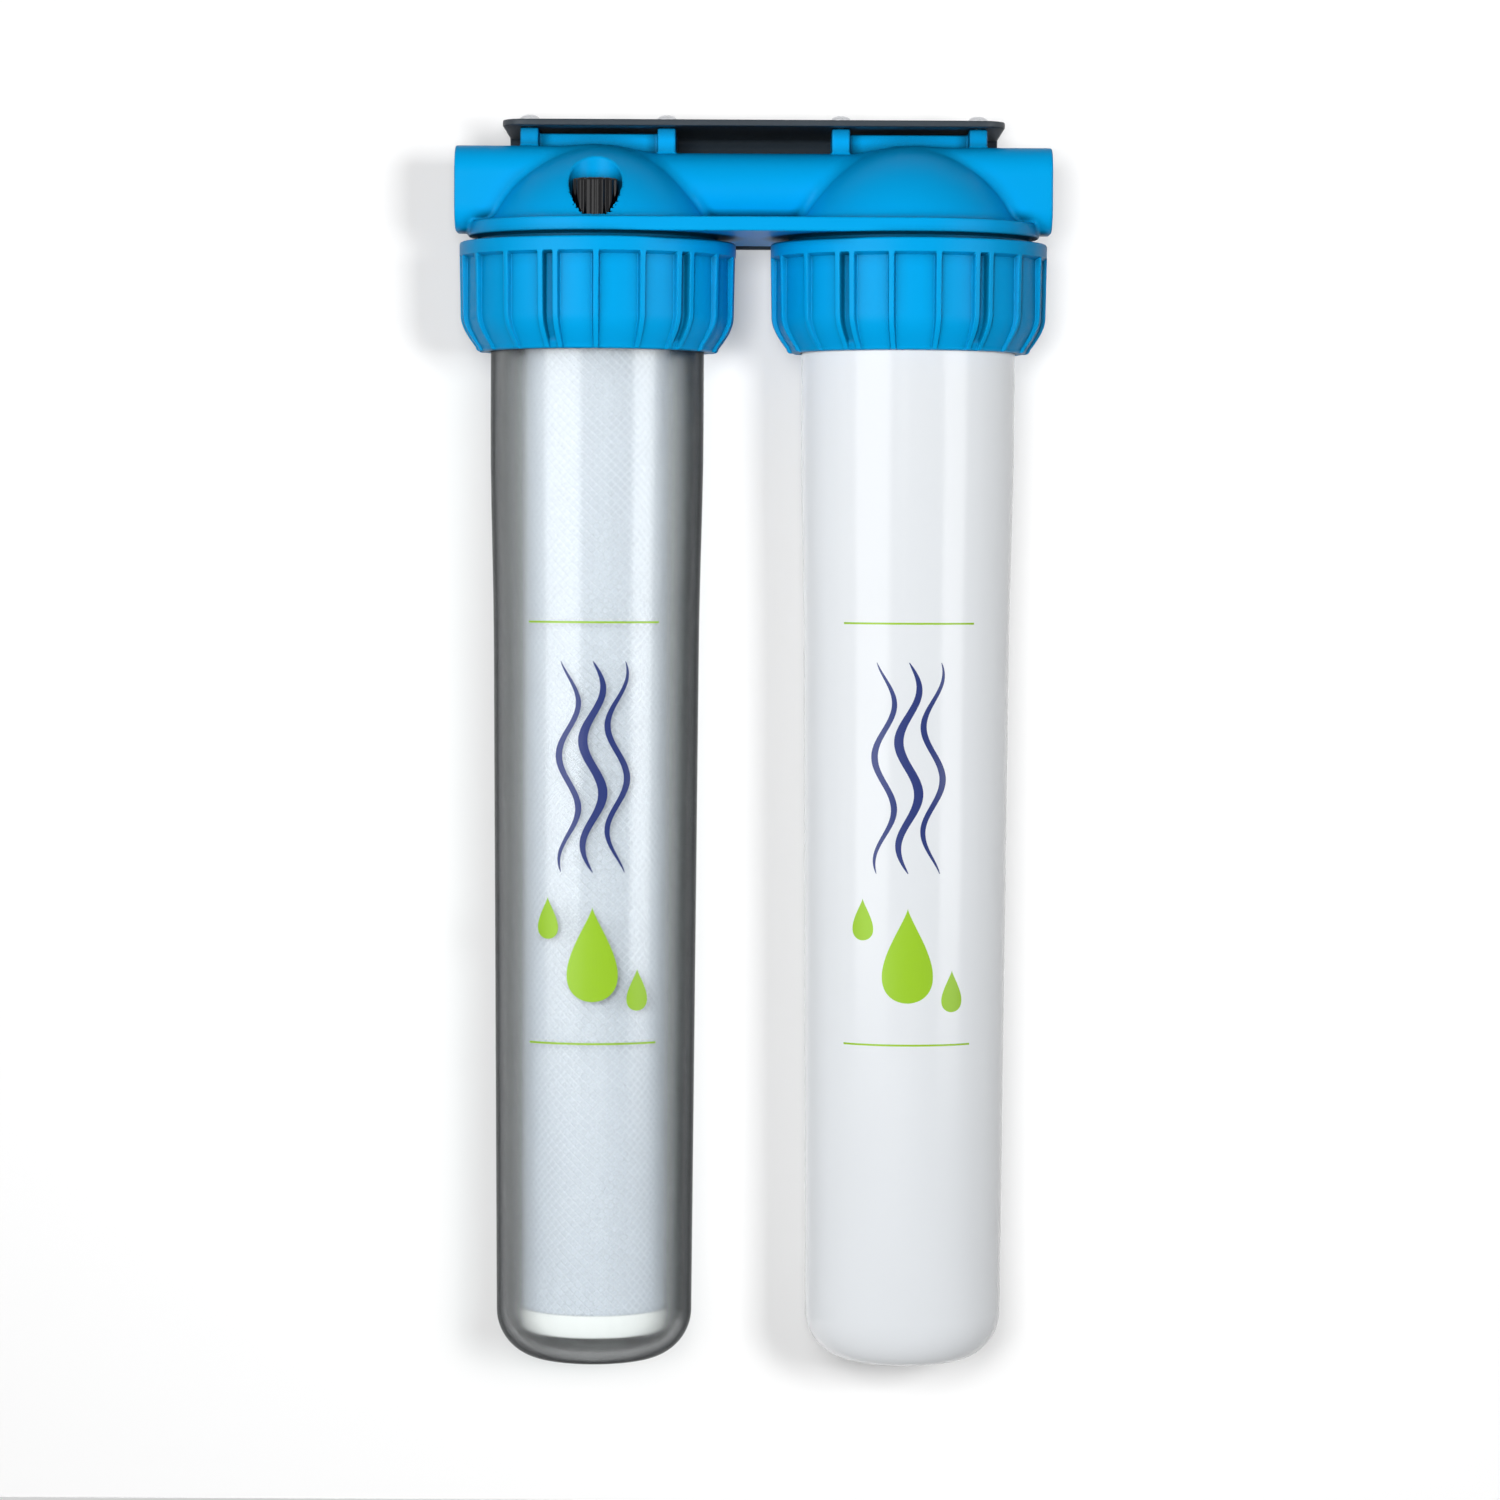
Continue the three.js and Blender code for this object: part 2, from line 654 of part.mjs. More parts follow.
// Wall bracket: a folded plate over the head with its leg against the wall
function bracketGeometry() {
  const outerBend = bracketBendRadius + bracketThickness;
  const wall = axisToWall;
  const bendCentreY = wall - outerBend;
  const bendCentreZ = bracketTop - outerBend;
  const fold = [
    [-bracketFrontEdge, bracketUnderside],
    ...arc(bendCentreY, bendCentreZ, bracketBendRadius, 90, 0),
    [wall - bracketThickness, bracketLegBottom],
    [wall, bracketLegBottom],
    ...arc(bendCentreY, bendCentreZ, outerBend, 0, 90),
    [-bracketFrontEdge, bracketTop],
  ];
  const plate = alongX(extrude(outline(fold), 2 * bracketHalfWidth)).translate(-bracketHalfWidth, 0, 0);
  const planHalfDepth = wall + bracketCornerRadius;
  const plan = extrude(
    outline(roundedRectangle(bracketHalfWidth, planHalfDepth, bracketCornerRadius)),
    bracketTop - bracketLegBottom + 2 * cutOverrun,
  ).translate(0, planHalfDepth - bracketFrontEdge, bracketLegBottom - cutOverrun);
  const elevation = extrude(
    outline(roundedRectangle(bracketHalfWidth, planHalfDepth, bracketCornerRadius)),
    wall + bracketFrontEdge + 2 * cutOverrun,
  ).rotateX(Math.PI / 2).translate(0, wall + cutOverrun, bracketLegBottom + planHalfDepth);
  let bracket = solid(plate).intersect(solid(plan)).intersect(solid(elevation));
  for (const side of [-1, 1]) {
    for (const edge of [-1, 1]) {
      for (const row of screwRows) {
        const hole = rod(
          bracketHoleRadius, bracketUnderside - cutOverrun, bracketTop + cutOverrun, screwFacets,
        );
        bracket = bracket.subtract(solid(hole.translate(side * axisSpacing / 2 + edge * railOffset, row, 0)));
      }
    }
    for (const offset of wallSlotOffsets) {
      const slotShape = outline(roundedRectangle(wallSlotWidth / 2, wallSlotLength / 2, wallSlotWidth / 2));
      const slot = extrude(slotShape, bracketThickness + 2 * cutOverrun).rotateX(Math.PI / 2);
      const height = (bracketTop + bracketLegBottom) / 2 - wallSlotRise;
      bracket = bracket.subtract(solid(slot.translate(side * offset, wall + cutOverrun, height)));
    }
  }
  return geometryOf(bracket);
}

function screwGeometry() {
  const seat = bracketTop + seatGap;
  const tip = railTopHeight - screwBite;
  return revolve([
    [0, tip],
    [screwShankRadius - screwPoint, tip],
    [screwShankRadius, tip + screwPoint],
    [screwShankRadius, seat],
    [screwHeadRadius, seat],
    [screwHeadRadius, seat + screwHeadHeight / 2],
    [screwHeadRadius * screwCrownShare, seat + screwHeadHeight],
    [0, seat + screwHeadHeight],
  ], screwFacets);
}

const softener = new THREE.Group();
softener.position.set(0, -axisToWall, flangeLevel);

function add(name, geometry, finish, x = 0, y = 0, z = 0) {
  const mesh = new THREE.Mesh(welded(geometry), new THREE.MeshStandardMaterial(finish));
  mesh.geometry.computeVertexNormals();
  mesh.name = name;
  mesh.position.set(x, y, z);
  softener.add(mesh);
  return mesh;
}

const leftAxis = -axisSpacing / 2;
const rightAxis = axisSpacing / 2;
const innerTop = cartridgeTop - capFace - seatGap;
const innerBottom = cartridgeBottom + capFace + seatGap;

add("head", headGeometry(), bluePlastic);
add("left_ring_nut", nutGeometry(leftNutPhaseDegrees), bluePlastic, leftAxis);
add("right_ring_nut", nutGeometry(rightNutPhaseDegrees), bluePlastic, rightAxis);
add("left_bowl", bowlGeometry(), clearPlastic, leftAxis);
add("right_bowl", bowlGeometry(), whitePlastic, rightAxis);
for (const [side, axis] of [["left", leftAxis], ["right", rightAxis]]) {
  add(`${side}_bowl_seal`, bowlSealGeometry(), blackRubber, axis);
  const gasket = ring(gasketInnerRadius, gasketRadius, 0, gasketThickness, smallFacets);
  add(`${side}_top_gasket`, gasket, blackRubber, axis, 0, cartridgeTop + seatGap);
  add(`${side}_bottom_gasket`, gasket, blackRubber, axis, 0, bowlSeatTop + seatGap);
  const topCap = add(`${side}_top_cap`, openCapGeometry(), whitePlastic, axis, 0, cartridgeTop);
  topCap.rotation.x = Math.PI;
}

// Taste cartridge: a carbon block on a core tube, in a net sleeve
const blockRadius = sleeveRadius - sleeveWall - seatGap;
add("left_bottom_cap", openCapGeometry(), whitePlastic, leftAxis, 0, cartridgeBottom);
add("core_tube", ring(coreBoreRadius, coreRadius, innerBottom, innerTop), whitePlastic, leftAxis);
add("carbon_block", ring(coreRadius + seatGap, blockRadius, innerBottom, innerTop), carbon, leftAxis);
add("net_sleeve", ring(sleeveRadius - sleeveWall, sleeveRadius, innerBottom, innerTop), netSleeve, leftAxis);

// Softener cartridge: a canister of media between two felt screens
const mediaRadius = sleeveRadius - canisterWall - seatGap;
const stubRoom = bowlStubReach + coreWall + seatGap;
const lowerScreenBottom = cartridgeBottom + stubRoom + seatGap;
const lowerScreenTop = lowerScreenBottom + screenThickness;
const upperScreenTop = cartridgeTop - spigotNoseReach - seatGap;
const upperScreenBottom = upperScreenTop - screenThickness;
add("right_bottom_cap", inletCapGeometry(), whitePlastic, rightAxis, 0, cartridgeBottom);
add("canister", ring(sleeveRadius - canisterWall, sleeveRadius, innerBottom, innerTop), whitePlastic, rightAxis);
add("lower_screen", rod(mediaRadius, lowerScreenBottom, lowerScreenTop), netSleeve, rightAxis);
add("upper_screen", rod(mediaRadius, upperScreenBottom, upperScreenTop), netSleeve, rightAxis);
const mediaBed = rod(mediaRadius, lowerScreenTop + seatGap, upperScreenBottom - seatGap);
add("media_bed", mediaBed, mediaBeads, rightAxis);

add("inlet_insert", insertGeometry().rotateZ(Math.PI), brass, -portSpan / 2, 0, portHeight);
add("outlet_insert", insertGeometry(), brass, portSpan / 2, 0, portHeight);
add("vent_knob", ventKnobGeometry(), blackPlastic, leftAxis, -ventForward);
add("vent_seal", ventRingGeometry(), blackRubber, leftAxis, -ventForward);
add("wall_bracket", bracketGeometry(), slatePaint);

// Screws are counted from the left, front row first
let screwNumber = 0;
for (const row of screwRows) {
  for (const axis of [leftAxis, rightAxis]) {
    for (const edge of [-1, 1]) {
      screwNumber += 1;
      add(`bracket_screw_${screwNumber}`, screwGeometry(), zincSteel, axis + edge * railOffset, row);
    }
  }
}

export default softener;
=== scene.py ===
# Salt-free water softener: its finished surfaces and a studio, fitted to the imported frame.
# Metres, +Z up, front towards -Y. Pieces are turned or cast about their own bowl's axis,
# with heights measured from the underside of the head's flange.

import math

import bpy
import numpy as np
from bpy.props import FloatProperty, FloatVectorProperty, IntProperty, PointerProperty
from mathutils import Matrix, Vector


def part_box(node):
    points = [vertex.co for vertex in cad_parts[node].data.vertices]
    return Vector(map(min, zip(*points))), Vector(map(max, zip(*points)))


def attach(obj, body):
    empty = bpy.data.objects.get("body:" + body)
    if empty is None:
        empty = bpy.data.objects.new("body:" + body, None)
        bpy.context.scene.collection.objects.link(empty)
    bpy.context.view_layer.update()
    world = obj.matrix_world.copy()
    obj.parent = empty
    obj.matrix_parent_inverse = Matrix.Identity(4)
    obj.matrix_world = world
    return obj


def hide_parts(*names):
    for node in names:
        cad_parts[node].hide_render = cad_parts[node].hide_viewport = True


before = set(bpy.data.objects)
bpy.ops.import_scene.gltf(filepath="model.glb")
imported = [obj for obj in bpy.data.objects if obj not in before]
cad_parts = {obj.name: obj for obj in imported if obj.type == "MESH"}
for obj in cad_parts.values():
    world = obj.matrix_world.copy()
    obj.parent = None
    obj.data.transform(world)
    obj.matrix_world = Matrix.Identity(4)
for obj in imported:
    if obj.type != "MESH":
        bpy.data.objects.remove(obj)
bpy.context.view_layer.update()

bl_info = {
    "name": "Water Softener Finish",
    "version": (1, 0, 0),
    "blender": (4, 5, 0),
    "location": "3D View > Sidebar > Softener",
    "description": "Builds the finished surfaces of a twin-bowl water softener round its frame",
    "category": "Add Mesh",
}

MM = 0.001
TURN = 2 * math.pi
FIT_GAP = 0.3 * MM


# Places read from the frame

def middle(node, axis):
    low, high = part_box(node)
    return (low[axis] + high[axis]) / 2


def node_radius(node):
    low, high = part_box(node)
    return max(high.x - low.x, high.y - low.y) / 2


SIDES = {"left": middle("left_bowl", 0), "right": middle("right_bowl", 0)}
AXIS_Y = middle("inlet_insert", 1)
HALF_SPACING = (SIDES["right"] - SIDES["left"]) / 2
HALF_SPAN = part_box("outlet_insert")[1].x
NUT_TOP_GAP = 2.1 * MM
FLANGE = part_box("left_ring_nut")[1].z + NUT_TOP_GAP
PORT_HEIGHT = middle("inlet_insert", 2) - FLANGE


def bottom_of(node):
    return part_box(node)[0].z - FLANGE


def top_of(node):
    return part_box(node)[1].z - FLANGE


# Sizes and colours that a user would change

def length(name, default, description):
    return FloatProperty(name=name, default=default, description=description, unit="LENGTH", precision=5)


def number(name, default, description):
    return FloatProperty(name=name, default=default, description=description)


def degrees(name, default, description):
    return FloatProperty(name=name, default=math.radians(default), description=description, subtype="ANGLE")


def colour(name, default, description):
    return FloatVectorProperty(
        name=name, default=default, description=description, subtype="COLOR", size=3, min=0, max=1,
    )


class HeadSettings(bpy.types.PropertyGroup):
    flange_radius: length("Flange Radius", 61 * MM, "Radius of the flange's round ends")
    flange_thickness: length("Flange Thickness", 7.2 * MM, "Height of the flange's upper face")
    flange_lift: length("Flange Lift", 0.5 * MM, "Relief under the flange, over the ring nuts")
    dome_radius: length("Dome Radius", 56.2 * MM, "Radius of the domes over the bowls")
    dome_drop: length("Dome Drop", 12 * MM, "How far the dome's centre lies under the flange")
    dome_wall: length("Dome Wall", 5 * MM, "Wall of the domes")
    tube_radius: length("Tube Radius", 17.6 * MM, "Radius of the tube between the domes")
    collar_half: length("Collar Half Height", 20.2 * MM, "Half of a port collar's height")
    collar_corner: length("Collar Corner", 13 * MM, "Corner radius of a port collar")
    cup_radius: length("Cup Radius", 47.5 * MM, "Bore of the cup over each bowl")
    rail_offset: length("Rail Offset", 32.25 * MM, "Distance of a bracket rail from the bowl's axis")
    rail_width: length("Rail Width", 8.5 * MM, "Width of a bracket rail")
    fillet: length("Fillet", 3.2 * MM, "Moulded fillet between the domes, the flange and the tube")
    mesh_step: length("Mesh Step", 1.0 * MM, "Spacing of the head's mesh")
    plastic: colour("Blue Plastic", (0.0, 0.4, 0.86), "Colour of the head and the ring nuts")


class ThreadSettings(bpy.types.PropertyGroup):
    lead: length("Lead", 6 * MM, "Rise of the ring nut's thread in one turn")
    root_radius: length("Root Radius", 55.6 * MM, "Root of the head's thread")
    depth: length("Depth", 1.7 * MM, "Depth of the head's thread")
    pipe_lead: length("Pipe Lead", 1.814 * MM, "Pitch of the port's pipe thread")
    pipe_depth: length("Pipe Depth", 1.0 * MM, "Depth of the port's pipe thread")


class NutSettings(bpy.types.PropertyGroup):
    band_radius: length("Band Radius", 65 * MM, "Radius of the top band and the ribs")
    band_height: length("Band Height", 6.3 * MM, "Height of the top band")
    panel_radius: length("Panel Radius", 62.5 * MM, "Radius of the panels between the ribs")
    foot_radius: length("Foot Radius", 55.9 * MM, "Radius of the panels at the nut's foot")
    rib_stand: length("Rib Stand", 1.4 * MM, "How far a rib stands out at the foot")
    draft: length("Draft", 0.5 * MM, "How far the ribs lean in over their straight part")
    taper_height: length("Taper Height", 17 * MM, "Height of the curved taper")
    ledge_height: length("Ledge Height", 1.8 * MM, "Height of the slope under the band")
    edge: length("Foot Edge", 1.8 * MM, "Radius of the nut's lower edge")
    rib_width: length("Rib Width", 2.3 * MM, "Width of a rib's flat top")
    flank: length("Flank", 0.75 * MM, "Width of a rib's sloping flank")
    groove_depth: length("Groove Depth", 1.5 * MM, "Depth of the groove between the ribs of a pair")
    lip_radius: length("Lip Radius", 50.5 * MM, "Bore of the lip that carries the bowl")
    bore_radius: length("Bore Radius", 58 * MM, "Bore of the nut's thread")
    lip_height: length("Lip Height", 12 * MM, "Height of the lip")
    sectors: IntProperty(name="Sectors", default=6, min=1, description="Repeats of the rib pattern")
    pair_angle: degrees("Pair Angle", 3.3, "Angle from the middle of a pair to each of its ribs")


class BowlSettings(bpy.types.PropertyGroup):
    neck_radius: length("Neck Radius", 49.5 * MM, "Radius of a bowl under its rim, without its flare")
    flare: length("Flare", 1.1 * MM, "How far a bowl flares out towards the ring nut")
    foot_radius: length("Foot Radius", 46.2 * MM, "Radius of a bowl over its rounded foot")
    wall: length("Wall", 3.8 * MM, "Wall of a bowl")
    corner: length("Corner", 23 * MM, "Radius of the rounded foot")
    floor: length("Floor", 5 * MM, "Thickness of the floor")
    rim_height: length("Rim Height", 7.7 * MM, "Height of the rim")
    seal_radius: length("Seal Radius", 52 * MM, "Middle of the groove for the bowl's seal")
    seal_cord: length("Seal Cord", 3.4 * MM, "Thickness of the bowl's seal")
    clear: colour("Clear Plastic", (0.93, 0.955, 0.95), "Tint of the clear bowl")
    white: colour("White Plastic", (0.83, 0.855, 0.88), "Colour of the opaque bowl")


class CartridgeSettings(bpy.types.PropertyGroup):
    cap_height: length("Cap Height", 10.5 * MM, "Height of an end cap's skirt")
    cap_face: length("Cap Face", 3 * MM, "Thickness of an end cap's face")
    cap_wall: length("Cap Wall", 1.1 * MM, "Wall of an end cap's skirt")
    net_cord: length("Net Cord", 0.62 * MM, "Thickness of the net's strands")
    net_strands: IntProperty(name="Net Strands", default=48, min=4, description="Strands in each direction")
    caps: colour("Cap Plastic", (0.83, 0.83, 0.82), "Colour of the end caps")
    felt: colour("Felt", (0.55, 0.58, 0.64), "Colour of the felt under the net")
    net: colour("Net", (0.74, 0.77, 0.83), "Colour of the net")


class LabelSettings(bpy.types.PropertyGroup):
    top: length("Top", -180 * MM, "Height of the upper hairline")
    height: length("Height", 196 * MM, "Distance between the hairlines")
    width: length("Width", 62 * MM, "Length of a hairline")
    line: length("Line", 0.9 * MM, "Thickness of a hairline")
    ribbon: length("Ribbon", 4.4 * MM, "Width of a wavy ribbon")
    film: length("Film", 0.06 * MM, "Thickness of the ink")
    navy: colour("Navy Print", (0.006, 0.022, 0.16), "Colour of the ribbons")
    green: colour("Green Print", (0.33, 0.6, 0.012), "Colour of the drops and hairlines")


class StageSettings(bpy.types.PropertyGroup):
    floor_gap: length("Floor Gap", 54 * MM, "Room between the lowered bowls and the floor")
    camera_height: length("Camera Height", -167.1 * MM, "Height of the camera")
    camera_distance: length("Camera Distance", 2.404, "Distance of the camera from the wall")
    camera_pitch: degrees("Camera Pitch", 2.477, "How far the camera looks down")
    camera_roll: degrees("Camera Roll", 0.28, "How far the camera is tipped")
    focal_length: number("Focal Length", 118.3, "Lens, in millimetres")
    left_glow: number("Left Glow", 2.9, "Brightness of the left softbox")
    right_glow: number("Right Glow", 3.3, "Brightness of the right softbox")
    key_level: number("Key Level", 0.85, "Light of the key on a facing surface")
    fill_level: number("Fill Level", 0.10, "Light of the fill on a facing surface")
    wall_level: number("Wall Level", 0.75, "Light that only falls on the wall")
    back_level: number("Back Level", 0.55, "Light that reaches the back")
    ambient: number("Ambient", 0.03, "Strength of the light from all round")


SETTINGS = {
    "softener_head": HeadSettings,
    "softener_thread": ThreadSettings,
    "softener_nut": NutSettings,
    "softener_bowl": BowlSettings,
    "softener_cartridge": CartridgeSettings,
    "softener_label": LabelSettings,
    "softener_stage": StageSettings,
}


# Meshes

def add_piece(name, mesh, material, place=(0, 0, 0)):
    mesh.materials.append(material)
    piece = bpy.data.objects.new(name, mesh)
    piece.location = place
    bpy.context.scene.collection.objects.link(piece)
    return piece


def at_axis(side):
    return (SIDES[side], AXIS_Y, FLANGE)


def fit(piece, body, node=None, slot=None):
    """Carries a piece on its body, in place of its solid; the slot is not used."""
    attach(piece, body)
    if node:
        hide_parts(node)


def fit_in_bowl(side, name, mesh, material, node=None, slot=None):
    """Adds a piece about a bowl's axis that comes down with the bowl."""
    fit(add_piece(name, mesh, material, at_axis(side)), f"{side}_bowl_group", node, slot)


def shade(mesh, normals):
    """Smooth shading with the given normal at each vertex."""
    mesh.shade_smooth()
    mesh.normals_split_custom_set_from_vertices(normals)


def rounded(outline, radius, steps=4):
    """The closed outline with its corners eased; points on the axis stay."""
    corner_angle, most_share = math.radians(12), 0.48
    points = [Vector(point) for point in outline]
    result = []
    for i, corner in enumerate(points):
        before = points[i - 1] - corner
        after = points[(i + 1) % len(points)] - corner
        if corner.x == 0 or before.angle(after) > math.pi - corner_angle:
            result.append(corner)
            continue
        reach = min(radius, before.length * most_share, after.length * most_share)
        start = corner + before.normalized() * reach
        end = corner + after.normalized() * reach
        for step in range(steps + 1):
            t = step / steps
            result.append(start * (1 - t) ** 2 + corner * 2 * t * (1 - t) + end * t * t)
    return [(point.x, point.y) for point in result]


def arc(centre, height, radius, start, end, steps=12):
    """Points of an arc in a profile, from one angle to another in degrees."""
    angles = np.radians(np.linspace(start, end, steps + 1))
    return [(centre + radius * math.cos(a), height + radius * math.sin(a)) for a in angles]


def grid_mesh(name, rows):
    """A closed skin through rings of points, an array of (ring, column, xyz), anticlockwise in profile."""
    ring_count, columns = rows.shape[:2]
    poles = np.hypot(rows[:, :, 0], rows[:, :, 1]).max(axis=1) == 0
    across = np.roll(rows, -1, axis=1) - np.roll(rows, 1, axis=1)
    along = np.roll(rows, -1, axis=0) - np.roll(rows, 1, axis=0)
    normals = np.cross(across, along)
    for i in np.nonzero(poles)[0]:
        outward = -1 if not poles[(i + 1) % ring_count] else 1
        normals[i] = (0, 0, outward)
    normals /= np.maximum(np.linalg.norm(normals, axis=2, keepdims=True), 1e-12)
    keep = np.ones((ring_count, columns), bool)
    keep[poles, 1:] = False
    ids = np.cumsum(keep).reshape(keep.shape) - 1
    ids[poles] = ids[poles][:, :1]
    faces = []
    for i in range(ring_count):
        after = (i + 1) % ring_count
        if poles[i] and poles[after]:
            continue
        a, b = ids[i], np.roll(ids[i], -1)
        c, d = np.roll(ids[after], -1), ids[after]
        corners = (a, c, d) if poles[i] else (a, b, d) if poles[after] else (a, b, c, d)
        faces.extend(np.stack(corners, axis=1).tolist())
    mesh = bpy.data.meshes.new(name)
    mesh.from_pydata(rows[keep].tolist(), [], faces)
    shade(mesh, normals[keep])
    return mesh


def rings(rows, angles):
    """Points of rings given as (radius, height): one number, or one at each angle."""
    flat = np.zeros_like(angles)
    return np.array([np.stack([r * np.cos(angles), r * np.sin(angles), z + flat], axis=1) for r, z in rows])


def turned_mesh(name, outline, edge=0.4 * MM, columns=128):
    """A profile of radius and height, anticlockwise, turned about the axis."""
    angles = np.linspace(0, TURN, columns, endpoint=False)
    return grid_mesh(name, rings(rounded(outline, edge), angles))


def tube_outline(inner, outer, bottom, top):
    return [(inner, bottom), (outer, bottom), (outer, top), (inner, top)]


# Fields: a form is a function that is negative inside it, and its skin is where it is zero

def union(a, b, fillet):
    """Joins two forms with a fillet."""
    corner = np.hypot(np.maximum(fillet - a, 0), np.maximum(fillet - b, 0))
    return np.maximum(fillet, np.minimum(a, b)) - corner


def overlap(a, b, edge):
    """What two forms share, with an eased edge."""
    corner = np.hypot(np.maximum(edge + a, 0), np.maximum(edge + b, 0))
    return np.minimum(-edge, np.maximum(a, b)) + corner


def cut(a, b, edge):
    return overlap(a, -b, edge)


def slab(value, low, high):
    return np.abs(value - (low + high) / 2) - (high - low) / 2


def pillar(x, y, z, radius, low, high, edge):
    return overlap(np.hypot(x, y) - radius, slab(z, low, high), edge)


def rounded_square(x, y, half_x, half_y, corner):
    out_x = np.abs(x) - half_x + corner
    out_y = np.abs(y) - half_y + corner
    inside = np.minimum(np.maximum(out_x, out_y), 0)
    return np.hypot(np.maximum(out_x, 0), np.maximum(out_y, 0)) + inside - corner


def field_slope(field, points, step):
    """The field's value and slope at points, an (n, 3) array."""
    slope = np.empty_like(points)
    for axis in range(3):
        shift = np.zeros(3)
        shift[axis] = step
        ahead = field(*(points + shift).T)
        behind = field(*(points - shift).T)
        slope[:, axis] = (ahead - behind) / (2 * step)
    return field(*points.T), slope


def settle(field, points, step):
    """Moves points onto the field's skin and gives the normals there."""
    for _ in range(3):
        value, slope = field_slope(field, points, step / 20)
        size = np.maximum(np.sum(slope * slope, axis=1), 0.05)
        move = np.clip(value / size, -step / 2, step / 2)
        points = points - slope * move[:, None]
    slope = field_slope(field, points, step / 5)[1]
    return points, slope / np.maximum(np.linalg.norm(slope, axis=1, keepdims=True), 1e-9)


def skin_of_field(field, low, high, step):
    """Vertices and quads of the skin: a vertex in each cell it crosses, a quad for each crossed edge."""
    low = np.array(low) - 1.5 * step
    counts = [int((h - l) / step) + 3 for l, h in zip(low, high)]
    x, y, z = (l + step * np.arange(n) for l, n in zip(low, counts))
    values = field(x[:, None, None], y[None, :, None], z[None, None, :])
    values = np.broadcast_to(values, counts).astype(np.float32)
    strides = np.array([counts[1] * counts[2], counts[2], 1])
    cells, places, quads = [], [], []
    for axis in range(3):
        lower = [slice(None)] * 3
        upper = [slice(None)] * 3
        lower[axis] = slice(None, -1)
        upper[axis] = slice(1, None)
        start, end = values[tuple(lower)], values[tuple(upper)]
        edges = np.argwhere((start < 0) != (end < 0))
        first, last = start[tuple(edges.T)], end[tuple(edges.T)]
        place = edges.astype(float)
        place[:, axis] += first / (first - last)
        home = edges @ strides
        side, other = strides[(axis + 1) % 3], strides[(axis + 2) % 3]
        ring = np.stack([home - side - other, home - other, home, home - side], axis=1)
        ring[first > 0] = ring[first > 0][:, ::-1]
        quads.append(ring)
        cells.append(ring.ravel())
        places.append(np.repeat(place, 4, axis=0))
    used, index = np.unique(np.concatenate(cells), return_inverse=True)
    places = np.concatenate(places)
    share = np.bincount(index)
    points = np.stack([np.bincount(index, places[:, i]) / share for i in range(3)], axis=1)
    return low + points * step, np.searchsorted(used, np.concatenate(quads))


def cast_mesh(name, field, low, high, step, face_limit=None):
    """The mesh of a field, thinned to a number of triangles where one is given."""
    points, quads = skin_of_field(field, low, high, step)
    points, normals = settle(field, points, step)
    mesh = bpy.data.meshes.new(name)
    mesh.from_pydata(points.tolist(), [], quads.tolist())
    if face_limit and 2 * len(quads) > face_limit:
        blank = bpy.data.objects.new(name, mesh)
        bpy.context.scene.collection.objects.link(blank)
        thinner = blank.modifiers.new("Thin", "DECIMATE")
        thinner.ratio = face_limit / (2 * len(quads))
        graph = bpy.context.evaluated_depsgraph_get()
        thinned = bpy.data.meshes.new_from_object(blank.evaluated_get(graph))
        bpy.data.objects.remove(blank)
        bpy.data.meshes.remove(mesh)
        mesh = thinned
        points = np.empty(len(mesh.vertices) * 3, np.float32)
        mesh.vertices.foreach_get("co", points)
        points, normals = settle(field, points.reshape(-1, 3).astype(float), step)
        mesh.vertices.foreach_set("co", points.astype(np.float32).ravel())
        mesh.update()
    shade(mesh, normals)
    return mesh


def smooth_step(value):
    value = np.clip(value, 0, 1)
    return value * value * (3 - 2 * value)


def thread_ridge(height, angle, lead, phase=0.0):
    """Right-hand thread: 0 at its root and 1 at its crest."""
    crest_share, root_share = 0.12, 0.32
    turn = np.mod(height / lead - angle / TURN + phase, 1)
    return smooth_step((root_share - np.abs(turn - 0.5)) / (root_share - crest_share))


def fade(value, low, high, room):
    """1 between two heights, falling to 0 over the given room at both ends."""
    return np.clip(np.minimum(value - low, high - value) / room, 0, 1)


# Materials

def feed(node, inputs):
    """Gives a node's inputs their values, and a link where the value is a socket."""
    for key, value in inputs.items():
        if isinstance(value, bpy.types.NodeSocket):
            node.id_data.links.new(value, node.inputs[key])
        else:
            node.inputs[key].default_value = value


def place_node(tree, kind, inputs=None, **settings):
    node = tree.nodes.new(kind)
    for key, value in settings.items():
        setattr(node, key, value)
    feed(node, inputs or {})
    return node


def calculate(tree, operation, *values):
    return place_node(tree, "ShaderNodeMath", dict(enumerate(values)), operation=operation).outputs[0]


def shift_from(tree, pattern, amount):
    """A pattern from 0 to 1 brought about zero, from minus the amount to plus the amount."""
    centred = calculate(tree, "SUBTRACT", pattern, 0.5)
    return calculate(tree, "MULTIPLY", centred, calculate(tree, "MULTIPLY", amount, 2.0))


def effect_group(name, inputs, outputs, build):
    """A shader node group with named sockets, made once."""
    if name in bpy.data.node_groups:
        return bpy.data.node_groups[name]
    tree = bpy.data.node_groups.new(name, "ShaderNodeTree")
    for label, default in inputs.items():
        if isinstance(default, tuple):
            kind = "NodeSocketColor" if len(default) == 4 else "NodeSocketVector"
        else:
            kind = "NodeSocketFloat"
        socket = tree.interface.new_socket(label, in_out="INPUT", socket_type=kind)
        socket.default_value = default
    for label, kind in outputs.items():
        tree.interface.new_socket(label, in_out="OUTPUT", socket_type=kind)
    source = tree.nodes.new("NodeGroupInput").outputs
    place_node(tree, "NodeGroupOutput", build(tree, source))
    return tree


SURFACE_OUTPUTS = {"Color": "NodeSocketColor", "Roughness": "NodeSocketFloat", "Normal": "NodeSocketVector"}


def object_coordinates(tree):
    return tree.nodes.new("ShaderNodeTexCoord").outputs["Object"]


